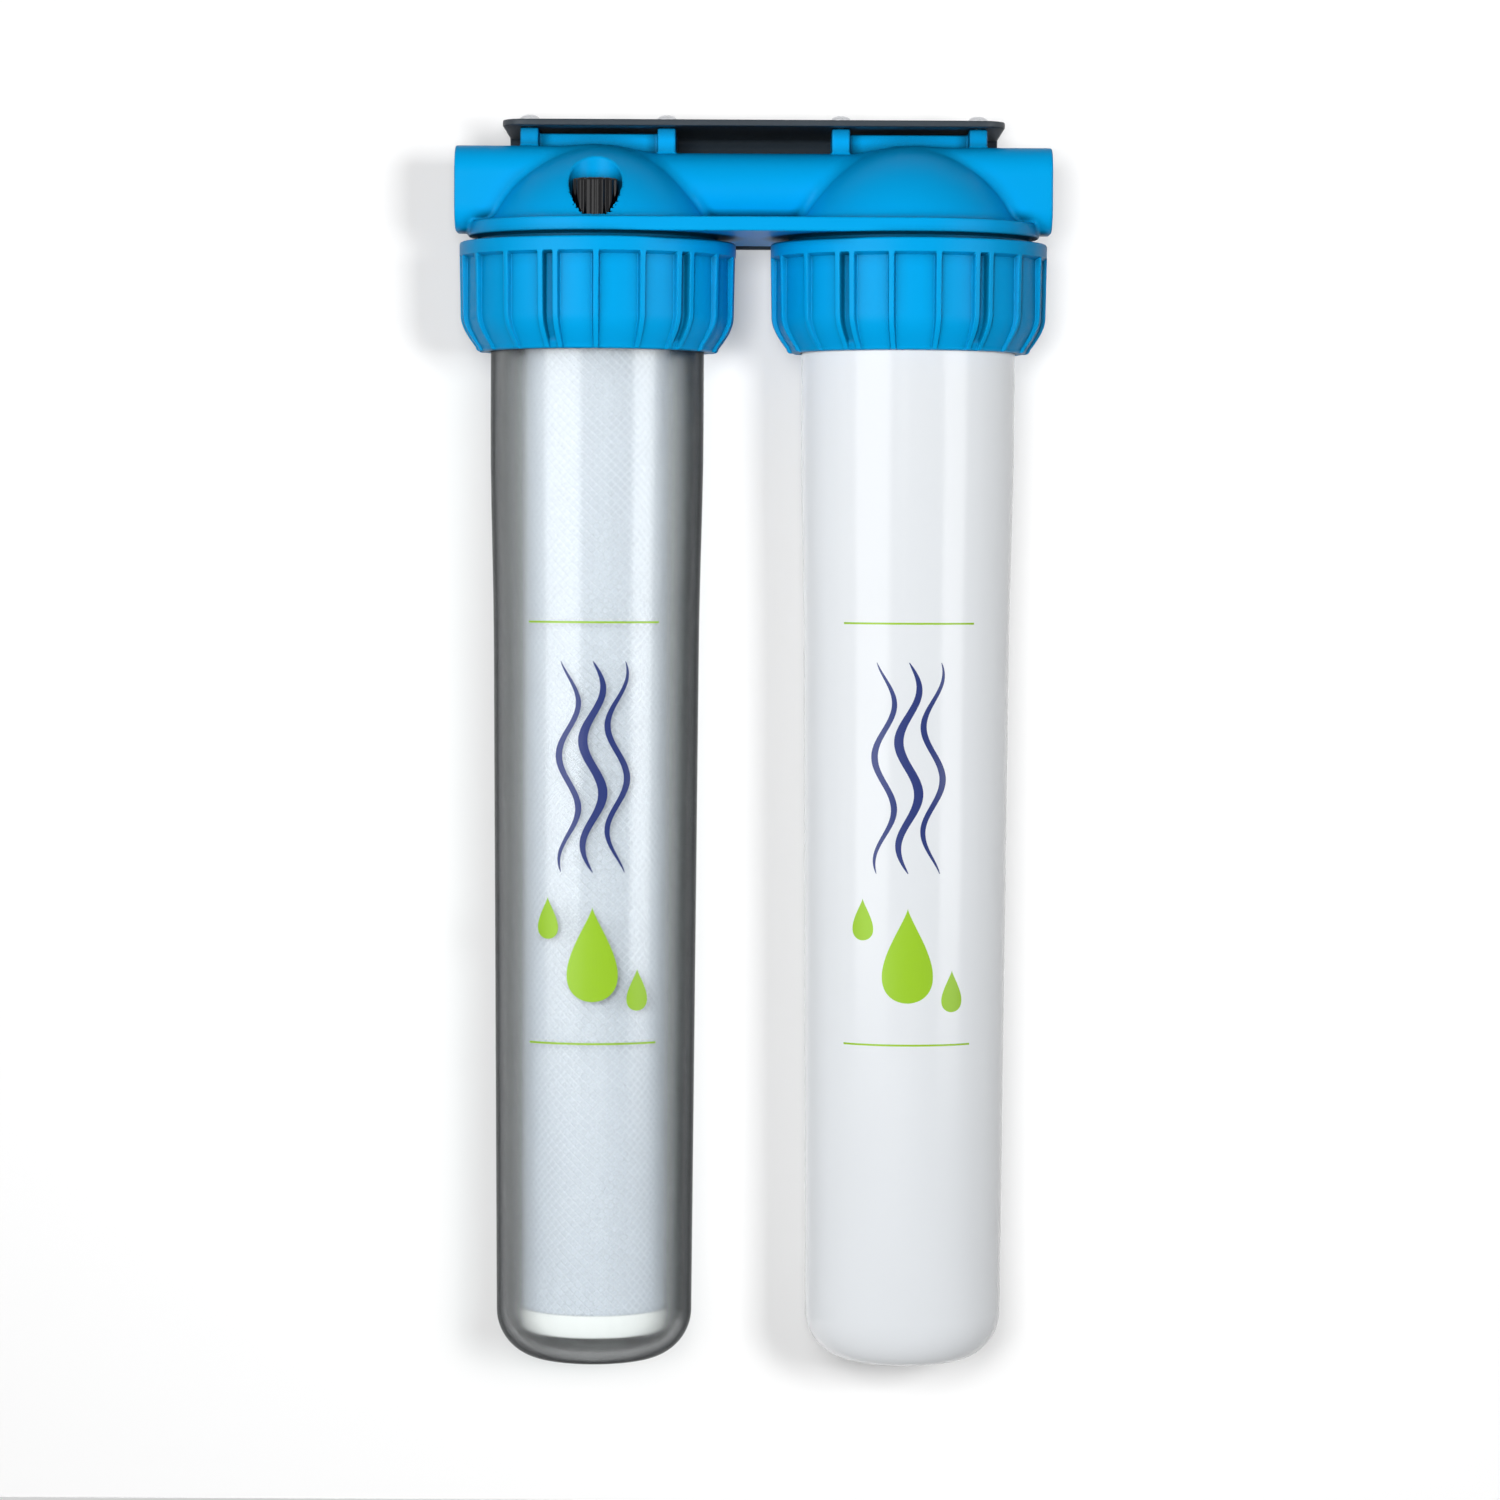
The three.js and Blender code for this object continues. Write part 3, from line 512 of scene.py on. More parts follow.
def noise(tree, where, scale, **inputs):
    return place_node(tree, "ShaderNodeTexNoise", {"Vector": where, "Scale": scale, **inputs}).outputs[0]


def stretched(tree, where, scale):
    return place_node(tree, "ShaderNodeVectorMath", {0: where, 1: scale}, operation="MULTIPLY").outputs[0]


def tinted(tree, base, change):
    """A colour made lighter or darker by a change about zero."""
    scale = calculate(tree, "ADD", change, 1.0)
    scaled = place_node(tree, "ShaderNodeVectorMath", {0: base, "Scale": scale}, operation="SCALE")
    return scaled.outputs[0]


def surface_outputs(tree, source, tone, gloss, height, relief):
    """Colour and roughness changed about their base, and the normal of a pattern of heights."""
    bump = place_node(tree, "ShaderNodeBump", {"Height": height, "Distance": source[relief]})
    return {
        "Color": tinted(tree, source["Color"], tone),
        "Roughness": calculate(tree, "ADD", source["Roughness"], gloss),
        "Normal": bump.outputs[0],
    }


def moulded_nodes(tree, source):
    where = object_coordinates(tree)
    broad = noise(tree, where, 22.0, Detail=2.0)
    fine = noise(tree, where, source["Grain Scale"], Detail=3.0, Roughness=0.6)
    tone = shift_from(tree, broad, source["Variation"])
    gloss = shift_from(tree, fine, source["Roughness Variation"])
    return surface_outputs(tree, source, tone, gloss, fine, "Grain Height")


def moulded_surface():
    return effect_group("moulded_surface", {
        "Color": (0.8, 0.8, 0.8, 1.0), "Variation": 0.02, "Roughness": 0.35, "Roughness Variation": 0.05,
        "Grain Scale": 900.0, "Grain Height": 0.00002,
    }, SURFACE_OUTPUTS, moulded_nodes)


def turned_metal_nodes(tree, source):
    where = stretched(tree, object_coordinates(tree), source["Line Scale"])
    lines = noise(tree, where, 1.0, Detail=4.0)
    tone = shift_from(tree, lines, source["Variation"])
    return surface_outputs(tree, source, tone, tone, lines, "Line Height")


def turned_metal():
    return effect_group("turned_metal", {
        "Color": (0.6, 0.6, 0.6, 1.0), "Variation": 0.08, "Roughness": 0.28,
        "Line Scale": (900.0, 900.0, 900.0), "Line Height": 0.00001,
    }, SURFACE_OUTPUTS, turned_metal_nodes)


FIBRE_STRETCHES = ((1.0, 1.0, 0.2), (0.25, 0.25, 1.0))


def fibre_nodes(tree, source):
    where = object_coordinates(tree)
    mat = calculate(tree, "MAXIMUM", *(
        noise(tree, stretched(tree, where, scale), source["Fibre Scale"], Detail=4.0, Distortion=0.4)
        for scale in FIBRE_STRETCHES
    ))
    tone = shift_from(tree, mat, source["Variation"])
    return surface_outputs(tree, source, tone, tone, mat, "Fibre Height")


def fibre_mat():
    return effect_group("fibre_mat", {
        "Color": (0.8, 0.8, 0.8, 1.0), "Variation": 0.12, "Roughness": 0.85,
        "Fibre Scale": 1400.0, "Fibre Height": 0.00025,
    }, SURFACE_OUTPUTS, fibre_nodes)


def grain_nodes(tree, source):
    where = object_coordinates(tree)
    cells = place_node(tree, "ShaderNodeTexVoronoi", {"Vector": where, "Scale": source["Grain Scale"]})
    dome = calculate(tree, "SUBTRACT", 1.0, cells.outputs["Distance"])
    tone = shift_from(tree, dome, source["Variation"])
    gloss = calculate(tree, "MULTIPLY", tone, -0.3)
    return surface_outputs(tree, source, tone, gloss, dome, "Grain Height")


def pressed_grains():
    return effect_group("pressed_grains", {
        "Color": (0.5, 0.5, 0.5, 1.0), "Variation": 0.3, "Roughness": 0.8,
        "Grain Scale": 600.0, "Grain Height": 0.0004,
    }, SURFACE_OUTPUTS, grain_nodes)


# The most painted shade in a recess, as the share of the colour taken away
MOST_PAINTED_SHADE = 0.85


# Painted shade from ambient occlusion: the less open a spot is, the darker its colour
def recess_shade_nodes(tree, source):
    room = place_node(tree, "ShaderNodeAmbientOcclusion", {"Distance": source["Reach"]}, samples=6)
    shut = calculate(tree, "SUBTRACT", 1.0, room.outputs["AO"])
    darker = calculate(tree, "MULTIPLY", shut, source["Darkening"])
    darker = calculate(tree, "MINIMUM", darker, MOST_PAINTED_SHADE)
    return {"Color": tinted(tree, source["Color"], calculate(tree, "MULTIPLY", darker, -1.0))}


def painted_recess_shade():
    """Paints shade into a colour: darkens it in corners and gaps that are narrower than the reach."""
    return effect_group("painted_recess_shade", {
        "Color": (0.5, 0.5, 0.5, 1.0), "Reach": 0.005, "Darkening": 1.2,
    }, {"Color": "NodeSocketColor"}, recess_shade_nodes)


def new_material(name):
    material = bpy.data.materials.new(name)
    material.use_nodes = True
    shader = material.node_tree.nodes["Principled BSDF"]
    return material, material.node_tree, shader


def mix_surface(tree, share, shader, other):
    """Gives the material its shader, and another one where the share is 1."""
    mixed = place_node(tree, "ShaderNodeMixShader", {0: share, 1: shader.outputs[0], 2: other.outputs[0]})
    feed(tree.nodes["Material Output"], {"Surface": mixed.outputs[0]})


def surfaced(name, group, values, **plain):
    """A Principled material with an effect for its colour, roughness and normal."""
    if name in bpy.data.materials:
        return bpy.data.materials[name]
    material, tree, shader = new_material(name)
    effect = place_node(tree, "ShaderNodeGroup", values, node_tree=group).outputs
    feed(shader, {
        "Base Color": effect["Color"], "Roughness": effect["Roughness"], "Normal": effect["Normal"],
        **{key.replace("_", " "): value for key, value in plain.items()},
    })
    return material


def opaque(value):
    return (*value, 1.0)


# Reach and strength of the painted shade in the blue plastic's corners, grooves and gaps
RECESS_SHADE_REACH = 6.5 * MM
RECESS_SHADE_STRENGTH = 1.4


def blue_plastic():
    """Moulded blue plastic with painted shade in its corners and gaps."""
    name = "moulded_blue_plastic"
    if name in bpy.data.materials:
        return bpy.data.materials[name]
    material = surfaced(name, moulded_surface(), {
        "Color": opaque(bpy.context.scene.softener_head.plastic), "Variation": 0.03, "Roughness": 0.42,
        "Roughness Variation": 0.06, "Grain Scale": 1500.0, "Grain Height": 12e-6,
    }, Specular_IOR_Level=0.09)
    shader = material.node_tree.nodes["Principled BSDF"]
    # Painted shade: occlusion darkens the blue's colour in its recesses
    recess_shade = place_node(material.node_tree, "ShaderNodeGroup", {
        "Color": shader.inputs["Base Color"].links[0].from_socket,
        "Reach": RECESS_SHADE_REACH, "Darkening": RECESS_SHADE_STRENGTH,
    }, node_tree=painted_recess_shade())
    feed(shader, {"Base Color": recess_shade.outputs["Color"]})
    return material


def white_plastic():
    return surfaced("glossy_white_plastic", moulded_surface(), {
        "Color": opaque(bpy.context.scene.softener_bowl.white), "Variation": 0.012, "Roughness": 0.16,
        "Roughness Variation": 0.03, "Grain Scale": 420.0, "Grain Height": 8e-6,
    }, Specular_IOR_Level=0.4, Diffuse_Roughness=0.6)


def cap_plastic():
    return surfaced("cap_white_plastic", moulded_surface(), {
        "Color": opaque(bpy.context.scene.softener_cartridge.caps), "Variation": 0.02, "Roughness": 0.45,
    })


def black_plastic():
    return surfaced("moulded_black_plastic", moulded_surface(), {
        "Color": (0.002, 0.002, 0.003, 1.0), "Variation": 0.2, "Roughness": 0.2, "Grain Height": 3e-6,
    }, Specular_IOR_Level=0.22)


def black_rubber():
    return surfaced("black_rubber", moulded_surface(), {
        "Color": (0.012, 0.012, 0.013, 1.0), "Variation": 0.25, "Roughness": 0.62,
        "Roughness Variation": 0.1, "Grain Scale": 700.0, "Grain Height": 30e-6,
    })


def powder_coat():
    return surfaced("slate_powder_coat", moulded_surface(), {
        "Color": (0.024, 0.034, 0.044, 1.0), "Variation": 0.12, "Roughness": 0.5,
        "Roughness Variation": 0.12, "Grain Scale": 1100.0, "Grain Height": 60e-6,
    })


def turned_brass():
    return surfaced("turned_brass", turned_metal(), {
        "Color": (0.58, 0.38, 0.12, 1.0), "Roughness": 0.26, "Line Scale": (6000.0, 60.0, 60.0),
    }, Metallic=1.0)


def zinc_plate():
    return surfaced("zinc_plate", turned_metal(), {
        "Color": (0.55, 0.56, 0.58, 1.0), "Roughness": 0.3, "Line Scale": (700.0, 700.0, 2500.0),
    }, Metallic=1.0)


def felt_wrap():
    return surfaced("felt_wrap", fibre_mat(), {
        "Color": opaque(bpy.context.scene.softener_cartridge.felt),
    }, Sheen_Weight=0.2)


def felt_screen():
    return surfaced("felt_screen", fibre_mat(), {
        "Color": (0.76, 0.76, 0.74, 1.0), "Fibre Scale": 900.0,
    }, Sheen_Weight=0.2)


def net_plastic():
    return surfaced("net_plastic", moulded_surface(), {
        "Color": opaque(bpy.context.scene.softener_cartridge.net), "Roughness": 0.35,
    })


def pressed_carbon():
    return surfaced("pressed_carbon", pressed_grains(), {
        "Color": (0.014, 0.014, 0.015, 1.0), "Variation": 0.5, "Roughness": 0.9, "Grain Scale": 1600.0,
    })


def media_beads():
    return surfaced("media_beads", pressed_grains(), {
        "Color": (0.68, 0.63, 0.52, 1.0), "Grain Scale": 420.0, "Roughness": 0.55,
    })


def print_ink(name, tint):
    return surfaced(name, moulded_surface(), {
        "Color": opaque(tint), "Variation": 0.03, "Roughness": 0.3, "Grain Scale": 2500.0,
        "Grain Height": 4e-6,
    })


# Painted shade of the clear bowl: from the facing share where the clear tint ends, its tint and a grey coat
# darken towards its edges
EDGE_SHADE_START = 0.2
PAINTED_EDGE_SHADES = ((0.36, 0.7), (0.56, 0.55), (0.74, 0.24), (0.88, 0.42))
PAINTED_EDGE_TONE = (0.3, 0.31, 0.31)
EDGE_SHADE_COAT_TINT = (0.56, 0.57, 0.58)
LAMP_TINT = (0.86, 0.88, 0.88)
PAINTED_EDGE_COAT = ((0.16, 0.0), (0.34, 0.4), (0.55, 0.55), (0.74, 0.9), (0.86, 0.75), (1.0, 0.4))


def ramp_over(tree, share, stops):
    """A colour for each share, from stops of (share, colour)."""
    ramp = place_node(tree, "ShaderNodeValToRGB", {"Fac": share})
    elements = ramp.color_ramp.elements
    for element, (position, tint) in zip(elements, (stops[0], stops[-1])):
        element.position, element.color = position, opaque(tint)
    for position, tint in stops[1:-1]:
        elements.new(position).color = opaque(tint)
    return ramp.outputs["Color"]


def clear_plastic():
    """Clear moulded plastic with painted shade: its tint and a grey coat darken where it is seen edge on. It
    lets lamp light through.
    """
    material, tree, shader = new_material("clear_bowl_plastic")
    facing = place_node(tree, "ShaderNodeLayerWeight", {"Blend": 0.5}).outputs["Facing"]
    edge_shades = [(EDGE_SHADE_START, bpy.context.scene.softener_bowl.clear)]
    edge_shades.extend((position, (shade * 0.98, shade, shade)) for position, shade in PAINTED_EDGE_SHADES)
    edge_shades.append((1.0, PAINTED_EDGE_TONE))
    edge_coat = [(position, (shade,) * 3) for position, shade in PAINTED_EDGE_COAT]
    effect = place_node(tree, "ShaderNodeGroup", {
        "Roughness": 0.17, "Roughness Variation": 0.04, "Grain Scale": 120.0, "Grain Height": 10e-6,
    }, node_tree=moulded_surface()).outputs
    # Tint and coat weight follow the facing share, so the edges seen edge on get painted shade
    feed(shader, {
        "Base Color": ramp_over(tree, facing, edge_shades), "Roughness": effect["Roughness"],
        "Normal": effect["Normal"], "Transmission Weight": 1.0, "IOR": 1.5, "Coat IOR": 1.0,
        "Coat Weight": ramp_over(tree, facing, edge_coat), "Coat Tint": opaque(EDGE_SHADE_COAT_TINT),
    })
    lamp_ray = tree.nodes.new("ShaderNodeLightPath").outputs["Is Shadow Ray"]
    through = place_node(tree, "ShaderNodeBsdfTransparent", {"Color": opaque(LAMP_TINT)})
    mix_surface(tree, lamp_ray, shader, through)
    return material


# Head

SPIGOT_RADIUS = 18 * MM
SPIGOT_REACH = 4.5 * MM
SPIGOT_NOSE_RADIUS = 12.5 * MM
SPIGOT_NOSE_BOTTOM = -13 * MM
WATER_BORE = 9.5 * MM
DUCT_RADIUS = 13 * MM
PORT_BORE = 11 * MM
SOCKET_DEPTH = 18.3 * MM
PILOT_RADIUS = 2.4 * MM
PILOT_DEPTH = 14.5 * MM
POCKET_RADIUS = 12.1 * MM
POCKET_WALL = 3 * MM
STEM_BORE = 3.3 * MM
RAIL_FRONT = -4.5 * MM
RAIL_BACK = 44 * MM
TIE_FRONT = 6 * MM
TIE_BACK = 9.5 * MM
TIE_DROP = 2 * MM
HEAD_FACES = 190000
SKIRT_SLEEVE = 2.5 * MM
SKIRT_END_GAP = 0.5 * MM
SKIRT_TOP = -0.2 * MM
THREAD_COLUMNS = 160
THREAD_RUN_OUT = 2 * MM
SCREW_ROWS = (middle("bracket_screw_1", 1) - AXIS_Y, middle("bracket_screw_5", 1) - AXIS_Y)
VENT_FORWARD = middle("vent_knob", 1) - AXIS_Y
VENT_PLACE = (SIDES["left"], AXIS_Y + VENT_FORWARD, FLANGE)


def head_field():
    """The head as one form, about the middle of the head."""
    head = bpy.context.scene.softener_head
    thread = bpy.context.scene.softener_thread
    skirt_bottom = bottom_of("head")
    rail_top = top_of("head")
    half = HALF_SPACING
    half_rail = head.rail_width / 2
    dome_top = head.dome_radius - head.dome_drop
    socket_radius = port_radius() + FIT_GAP
    soft_edge = 1.0 * MM
    fine_edge = 0.7 * MM
    root = 1 * MM

    def field(x, y, z):
        from_axis = np.abs(x) - half
        across = np.hypot(from_axis, y)
        in_line = np.hypot(y, z - PORT_HEIGHT)
        from_vent = np.hypot(x + half, y - VENT_FORWARD)
        flange = overlap(
            np.hypot(np.maximum(from_axis, 0), y) - head.flange_radius,
            slab(z, head.flange_lift, head.flange_thickness), soft_edge,
        )
        sphere = np.hypot(across, z + head.dome_drop) - head.dome_radius
        dome = np.maximum(sphere, root - z)
        tube = np.maximum(in_line - head.tube_radius, from_axis)
        form = union(union(flange, dome, head.fillet), tube, head.fillet)
        skirt = overlap(across - thread.root_radius + fine_edge, slab(z, skirt_bottom, root), soft_edge)
        collar = overlap(
            rounded_square(y, z - PORT_HEIGHT, head.collar_half, head.collar_half, head.collar_corner),
            slab(np.abs(x), half, HALF_SPAN), soft_edge,
        )
        form = union(np.minimum(form, skirt), collar, 2 * soft_edge)
        rail_side = slab(np.abs(from_axis), head.rail_offset - half_rail, head.rail_offset + half_rail)
        rail_plan = overlap(rail_side, slab(y, RAIL_FRONT, RAIL_BACK), fine_edge)
        rail = overlap(rail_plan, slab(z, root, rail_top), fine_edge)
        tie = overlap(
            np.maximum(slab(y, TIE_FRONT, TIE_BACK), np.abs(from_axis) - head.rail_offset),
            slab(z, root, rail_top - TIE_DROP), fine_edge,
        )
        form = union(form, union(rail, tie, soft_edge), soft_edge)

        cup = np.maximum(across - head.cup_radius, sphere + head.dome_wall)
        form = cut(form, cup, fine_edge)
        spigot = pillar(from_axis, y, z, SPIGOT_RADIUS, -SPIGOT_REACH, dome_top, fine_edge)
        nose = pillar(from_axis, y, z, SPIGOT_NOSE_RADIUS, SPIGOT_NOSE_BOTTOM, dome_top, fine_edge)
        rightward = np.where(x < 0, x + half, x - half)
        duct = np.maximum(in_line - DUCT_RADIUS, -rightward)
        inner = union(union(spigot, nose, fine_edge), duct, soft_edge)
        inner = union(inner, np.maximum(from_vent - POCKET_RADIUS - POCKET_WALL, root - z), soft_edge)
        form = union(form, np.maximum(inner, sphere + fine_edge), soft_edge)

        bore = np.maximum(across - WATER_BORE, z - PORT_HEIGHT - WATER_BORE)
        form = cut(form, bore, fine_edge)
        ways = np.minimum(
            np.maximum(in_line - PORT_BORE, x + half + SPIGOT_RADIUS + 2 * root),
            np.maximum(in_line - WATER_BORE, slab(x, -half, half - SPIGOT_RADIUS - 2 * root)),
        )
        ways = np.minimum(ways, np.maximum(in_line - WATER_BORE, half - x))
        form = cut(form, ways, fine_edge)
        socket = np.maximum(in_line - socket_radius, HALF_SPAN - SOCKET_DEPTH - np.abs(x))
        form = cut(form, socket, fine_edge)
        pocket = np.maximum(from_vent - POCKET_RADIUS, head.flange_thickness - z)
        form = cut(form, pocket, fine_edge)
        form = np.maximum(form, STEM_BORE - from_vent)
        for row in SCREW_ROWS:
            pilot = np.hypot(np.abs(from_axis) - head.rail_offset, y - row) - PILOT_RADIUS
            form = np.maximum(form, -np.maximum(pilot, rail_top - PILOT_DEPTH - z))
        return form

    return field


def port_radius():
    low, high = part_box("inlet_insert")
    return (high.z - low.z) / 2


class SOFTENER_OT_head(bpy.types.Operator):
    """Casts the twin head in blue plastic and cuts the threads on its skirts"""
    bl_idname = "softener.head"
    bl_label = "Head"

    def execute(self, context):
        head = context.scene.softener_head
        field = head_field()
        depth = head.flange_radius
        low = (-HALF_SPAN, -depth, bottom_of("head"))
        high = (HALF_SPAN, depth, top_of("head"))
        mesh = cast_mesh("head_shell", field, low, high, head.mesh_step, HEAD_FACES)
        shell = add_piece("head_shell", mesh, blue_plastic(), (0, AXIS_Y, FLANGE))
        fit(shell, "head_and_bracket", "head", "blue_plastic")
        for side in SIDES:
            sleeve = self.skirt_thread(context.scene.softener_thread)
            skirt = add_piece(f"{side}_skirt_thread", sleeve, blue_plastic(), at_axis(side))
            fit(skirt, "head_and_bracket", slot="blue_plastic")
        return {"FINISHED"}

    def skirt_thread(self, thread):
        """A sleeve round the skirt that carries the ring nut's thread."""
        bottom, top = bottom_of("head") + SKIRT_END_GAP, SKIRT_TOP
        angles = np.linspace(0, TURN, THREAD_COLUMNS, endpoint=False)
        inner = thread.root_radius - SKIRT_SLEEVE
        rows = [(inner, bottom)]
        for z in np.linspace(bottom, top, 96):
            run = fade(z, bottom + MM, top - THREAD_RUN_OUT, THREAD_RUN_OUT)
            ridge = thread_ridge(z, angles, thread.lead)
            rows.append((thread.root_radius + thread.depth * run * ridge, z))
        rows.append((inner, top))
        return grid_mesh("skirt_thread", rings(rows, angles))


# Ring nuts

SINGLE_RIB_SHARES = (0.337, 0.663)
NUT_PHASES = {"left": math.radians(-19.2), "right": math.radians(-29)}
FLANK_COLUMNS = (0.6, 1.15, 1.3, 1.45, 1.6, 1.75, 1.9, 2.3)
RIB_COLUMNS = (*(-offset for offset in FLANK_COLUMNS[::-1]), 0, *FLANK_COLUMNS)
CLOSEST_COLUMNS = 0.12 * MM
PANEL_COLUMNS = 120
TAPER_STEPS = 14
RIB_SHARES = (0.2, 0.5, 0.8)
LEDGE_SHARES = ((0, 0), (0.06, 0.12), (0.5, 0.5), (0.94, 0.88), (1, 1))
GROOVE_HALF = 2.35 * MM
GROOVE_FLANK = 0.75 * MM
GROOVE_START = 0.08
GROOVE_GROWTH = 7
BAND_EDGE = 1.2 * MM
BORE_EDGE = 0.8 * MM
SHOULDER_CORNER = 0.5 * MM
THREAD_FOOT = 9 * MM
THREAD_HEAD = 3 * MM
THREAD_ROOM = 0.1 * MM


def eased_slope(value):
    """A straight slope from 0 to 1 with small fillets at both ends."""
    value = np.clip(value, 0, 1)
    return 0.6 * value + 0.4 * smooth_step(value)


class SOFTENER_OT_ring_nuts(bpy.types.Operator):
    """Moulds the two ribbed ring nuts with their inner threads"""
    bl_idname = "softener.ring_nuts"
    bl_label = "Ring Nuts"

    def execute(self, context):
        for side in SIDES:
            mesh = self.nut_mesh(context.scene, NUT_PHASES[side])
            nut = add_piece(f"{side}_nut_shell", mesh, blue_plastic(), at_axis(side))
            fit(nut, f"{side}_nut", f"{side}_ring_nut", "blue_plastic")
        return {"FINISHED"}

    def nut_mesh(self, scene, phase):
        nut = scene.softener_nut
        ribs, grooves = self.rib_angles(nut, phase)
        angles = self.column_angles(nut, ribs)

        def mask(places, reach, flank):
            """1 beside the places, falling to 0 at the reach."""
            away = np.abs(np.angle(np.exp(1j * np.subtract.outer(places, angles)))) * nut.band_radius
            return eased_slope((reach - away) / flank).max(axis=0)

        rib_mask = mask(ribs, nut.rib_width / 2 + nut.flank, nut.flank)
        groove_mask = mask(grooves, GROOVE_HALF, GROOVE_FLANK)
        rows = []
        for panel, rib, groove, height in self.outer_stations(nut):
            radius = panel + (rib - panel) * rib_mask - nut.groove_depth * groove * groove_mask
            rows.append((radius, height))
        rows.extend(self.inner_rows(scene, angles))
        return grid_mesh("nut_shell", rings(rows, angles))

    def rib_angles(self, nut, phase):
        """World angles of all ribs, and of the grooves inside the pairs."""
        ribs, grooves = [], []
        sector = TURN / nut.sectors
        for i in range(nut.sectors):
            start = phase + i * sector - math.pi / 2
            grooves.append(start)
            ribs.extend((start - nut.pair_angle, start + nut.pair_angle))
            ribs.extend(start + share * sector for share in SINGLE_RIB_SHARES)
        return ribs, grooves

    def column_angles(self, nut, ribs):
        """Columns crowd at each rib's flanks and are sparse on the panels."""
        closest = CLOSEST_COLUMNS / nut.band_radius
        wanted = list(np.linspace(0, TURN, PANEL_COLUMNS, endpoint=False))
        offsets = np.array(RIB_COLUMNS) * MM / nut.band_radius
        wanted.extend(np.mod(np.add.outer(np.array(ribs), offsets), TURN).ravel())
        wanted.sort()
        columns = wanted[:1]
        for angle in wanted[1:]:
            if closest < angle - columns[-1] and angle < TURN + columns[0] - closest:
                columns.append(angle)
        return np.array(columns)

    def outer_stations(self, nut):
        """Radius of the panels, radius of the ribs, depth of the grooves and height, upwards."""
        bottom, top = bottom_of("left_ring_nut"), top_of("left_ring_nut")
        edge = nut.edge
        taper_top = bottom + nut.taper_height
        band_bottom = top - nut.band_height
        rib_foot = nut.foot_radius + nut.rib_stand
        stations = []
        for r, z in arc(-edge, bottom + edge, edge, -90, 0, 5):
            stations.append((nut.foot_radius + r, rib_foot + r, 0, z))
        for i in range(1, TAPER_STEPS + 1):
            t = i / TAPER_STEPS
            swell = math.sin(math.pi / 2 * t)
            panel = nut.foot_radius + (nut.panel_radius - nut.foot_radius) * swell
            rib = rib_foot + (nut.band_radius - nut.draft - rib_foot) * swell
            z = bottom + edge + (nut.taper_height - edge) * t
            stations.append((panel, rib, smooth_step((t - GROOVE_START) * GROOVE_GROWTH), z))
        ledge = band_bottom - nut.ledge_height
        for share in RIB_SHARES:
            z = taper_top + (ledge - taper_top) * share
            stations.append((nut.panel_radius, nut.band_radius - nut.draft * (1 - share), 1, z))
        for share, z_share in LEDGE_SHARES:
            panel = nut.panel_radius + (nut.band_radius - nut.panel_radius) * share
            stations.append((panel, nut.band_radius, 1 - share, ledge + z_share * nut.ledge_height))
        for r, z in arc(-BAND_EDGE, top - BAND_EDGE, BAND_EDGE, 0, 90, 5):
            stations.append((nut.band_radius + r, nut.band_radius + r, 0, z))
        return stations

    def inner_rows(self, scene, angles):
        """Down the threaded bore, over the shoulder and down the lip."""
        nut, thread = scene.softener_nut, scene.softener_thread
        bottom, top = bottom_of("left_ring_nut"), top_of("left_ring_nut")
        shoulder = bottom + nut.lip_height
        edge, corner = BORE_EDGE, SHOULDER_CORNER
        rows = arc(nut.bore_radius + edge, top - edge, edge, 90, 180, 4)
        for z in np.linspace(top - 1.5 * MM, shoulder + MM, 90):
            run = fade(z, shoulder + THREAD_FOOT, top - THREAD_HEAD, THREAD_RUN_OUT)
            ridge = thread_ridge(z, angles, thread.lead, 0.5)
            rows.append((nut.bore_radius - (thread.depth - THREAD_ROOM) * run * ridge, z))
        rows.extend(arc(nut.bore_radius - corner, shoulder + corner, corner, 0, -90, 3))
        rows.extend(arc(nut.lip_radius + edge, shoulder - edge, edge, 90, 180, 4))
        rows.extend(arc(nut.lip_radius + edge, bottom + edge, edge, 180, 270, 4))
        return rows


# Bowls and seals

FLARE_START = 0.68
FLARE_RUN = 0.2
MOST_FLARE = 0.7 * MM
SIDE_SHARES = (0.66, 0.7, 0.73, 0.76, 0.79, 0.82, 0.86, 0.9, 1)
BOWL_EDGE = 0.5 * MM
BOWL_COLUMNS = 160
FOOT_MARK_DEPTH = 0.8 * MM
FOOT_MARK_RADII = (3 * MM, 5 * MM)
SEAT_INSET = 2 * MM
SEAT_WIDTH = 4 * MM
STUB_RADIUS = 12 * MM
STUB_REACH = 5 * MM
STUB_CHAMFER = 1.5 * MM
GASKET_BORE = 13.5 * MM


def bowl_radius(bowl, share):
    """Outer radius of a bowl's side, from 0 over the rounded foot to 1 under the rim."""
    taper = bowl.foot_radius + (bowl.neck_radius - bowl.foot_radius) * share
    flared = taper + bowl.flare * smooth_step((share - FLARE_START) / FLARE_RUN)
    return np.minimum(flared, bowl.neck_radius + MOST_FLARE)


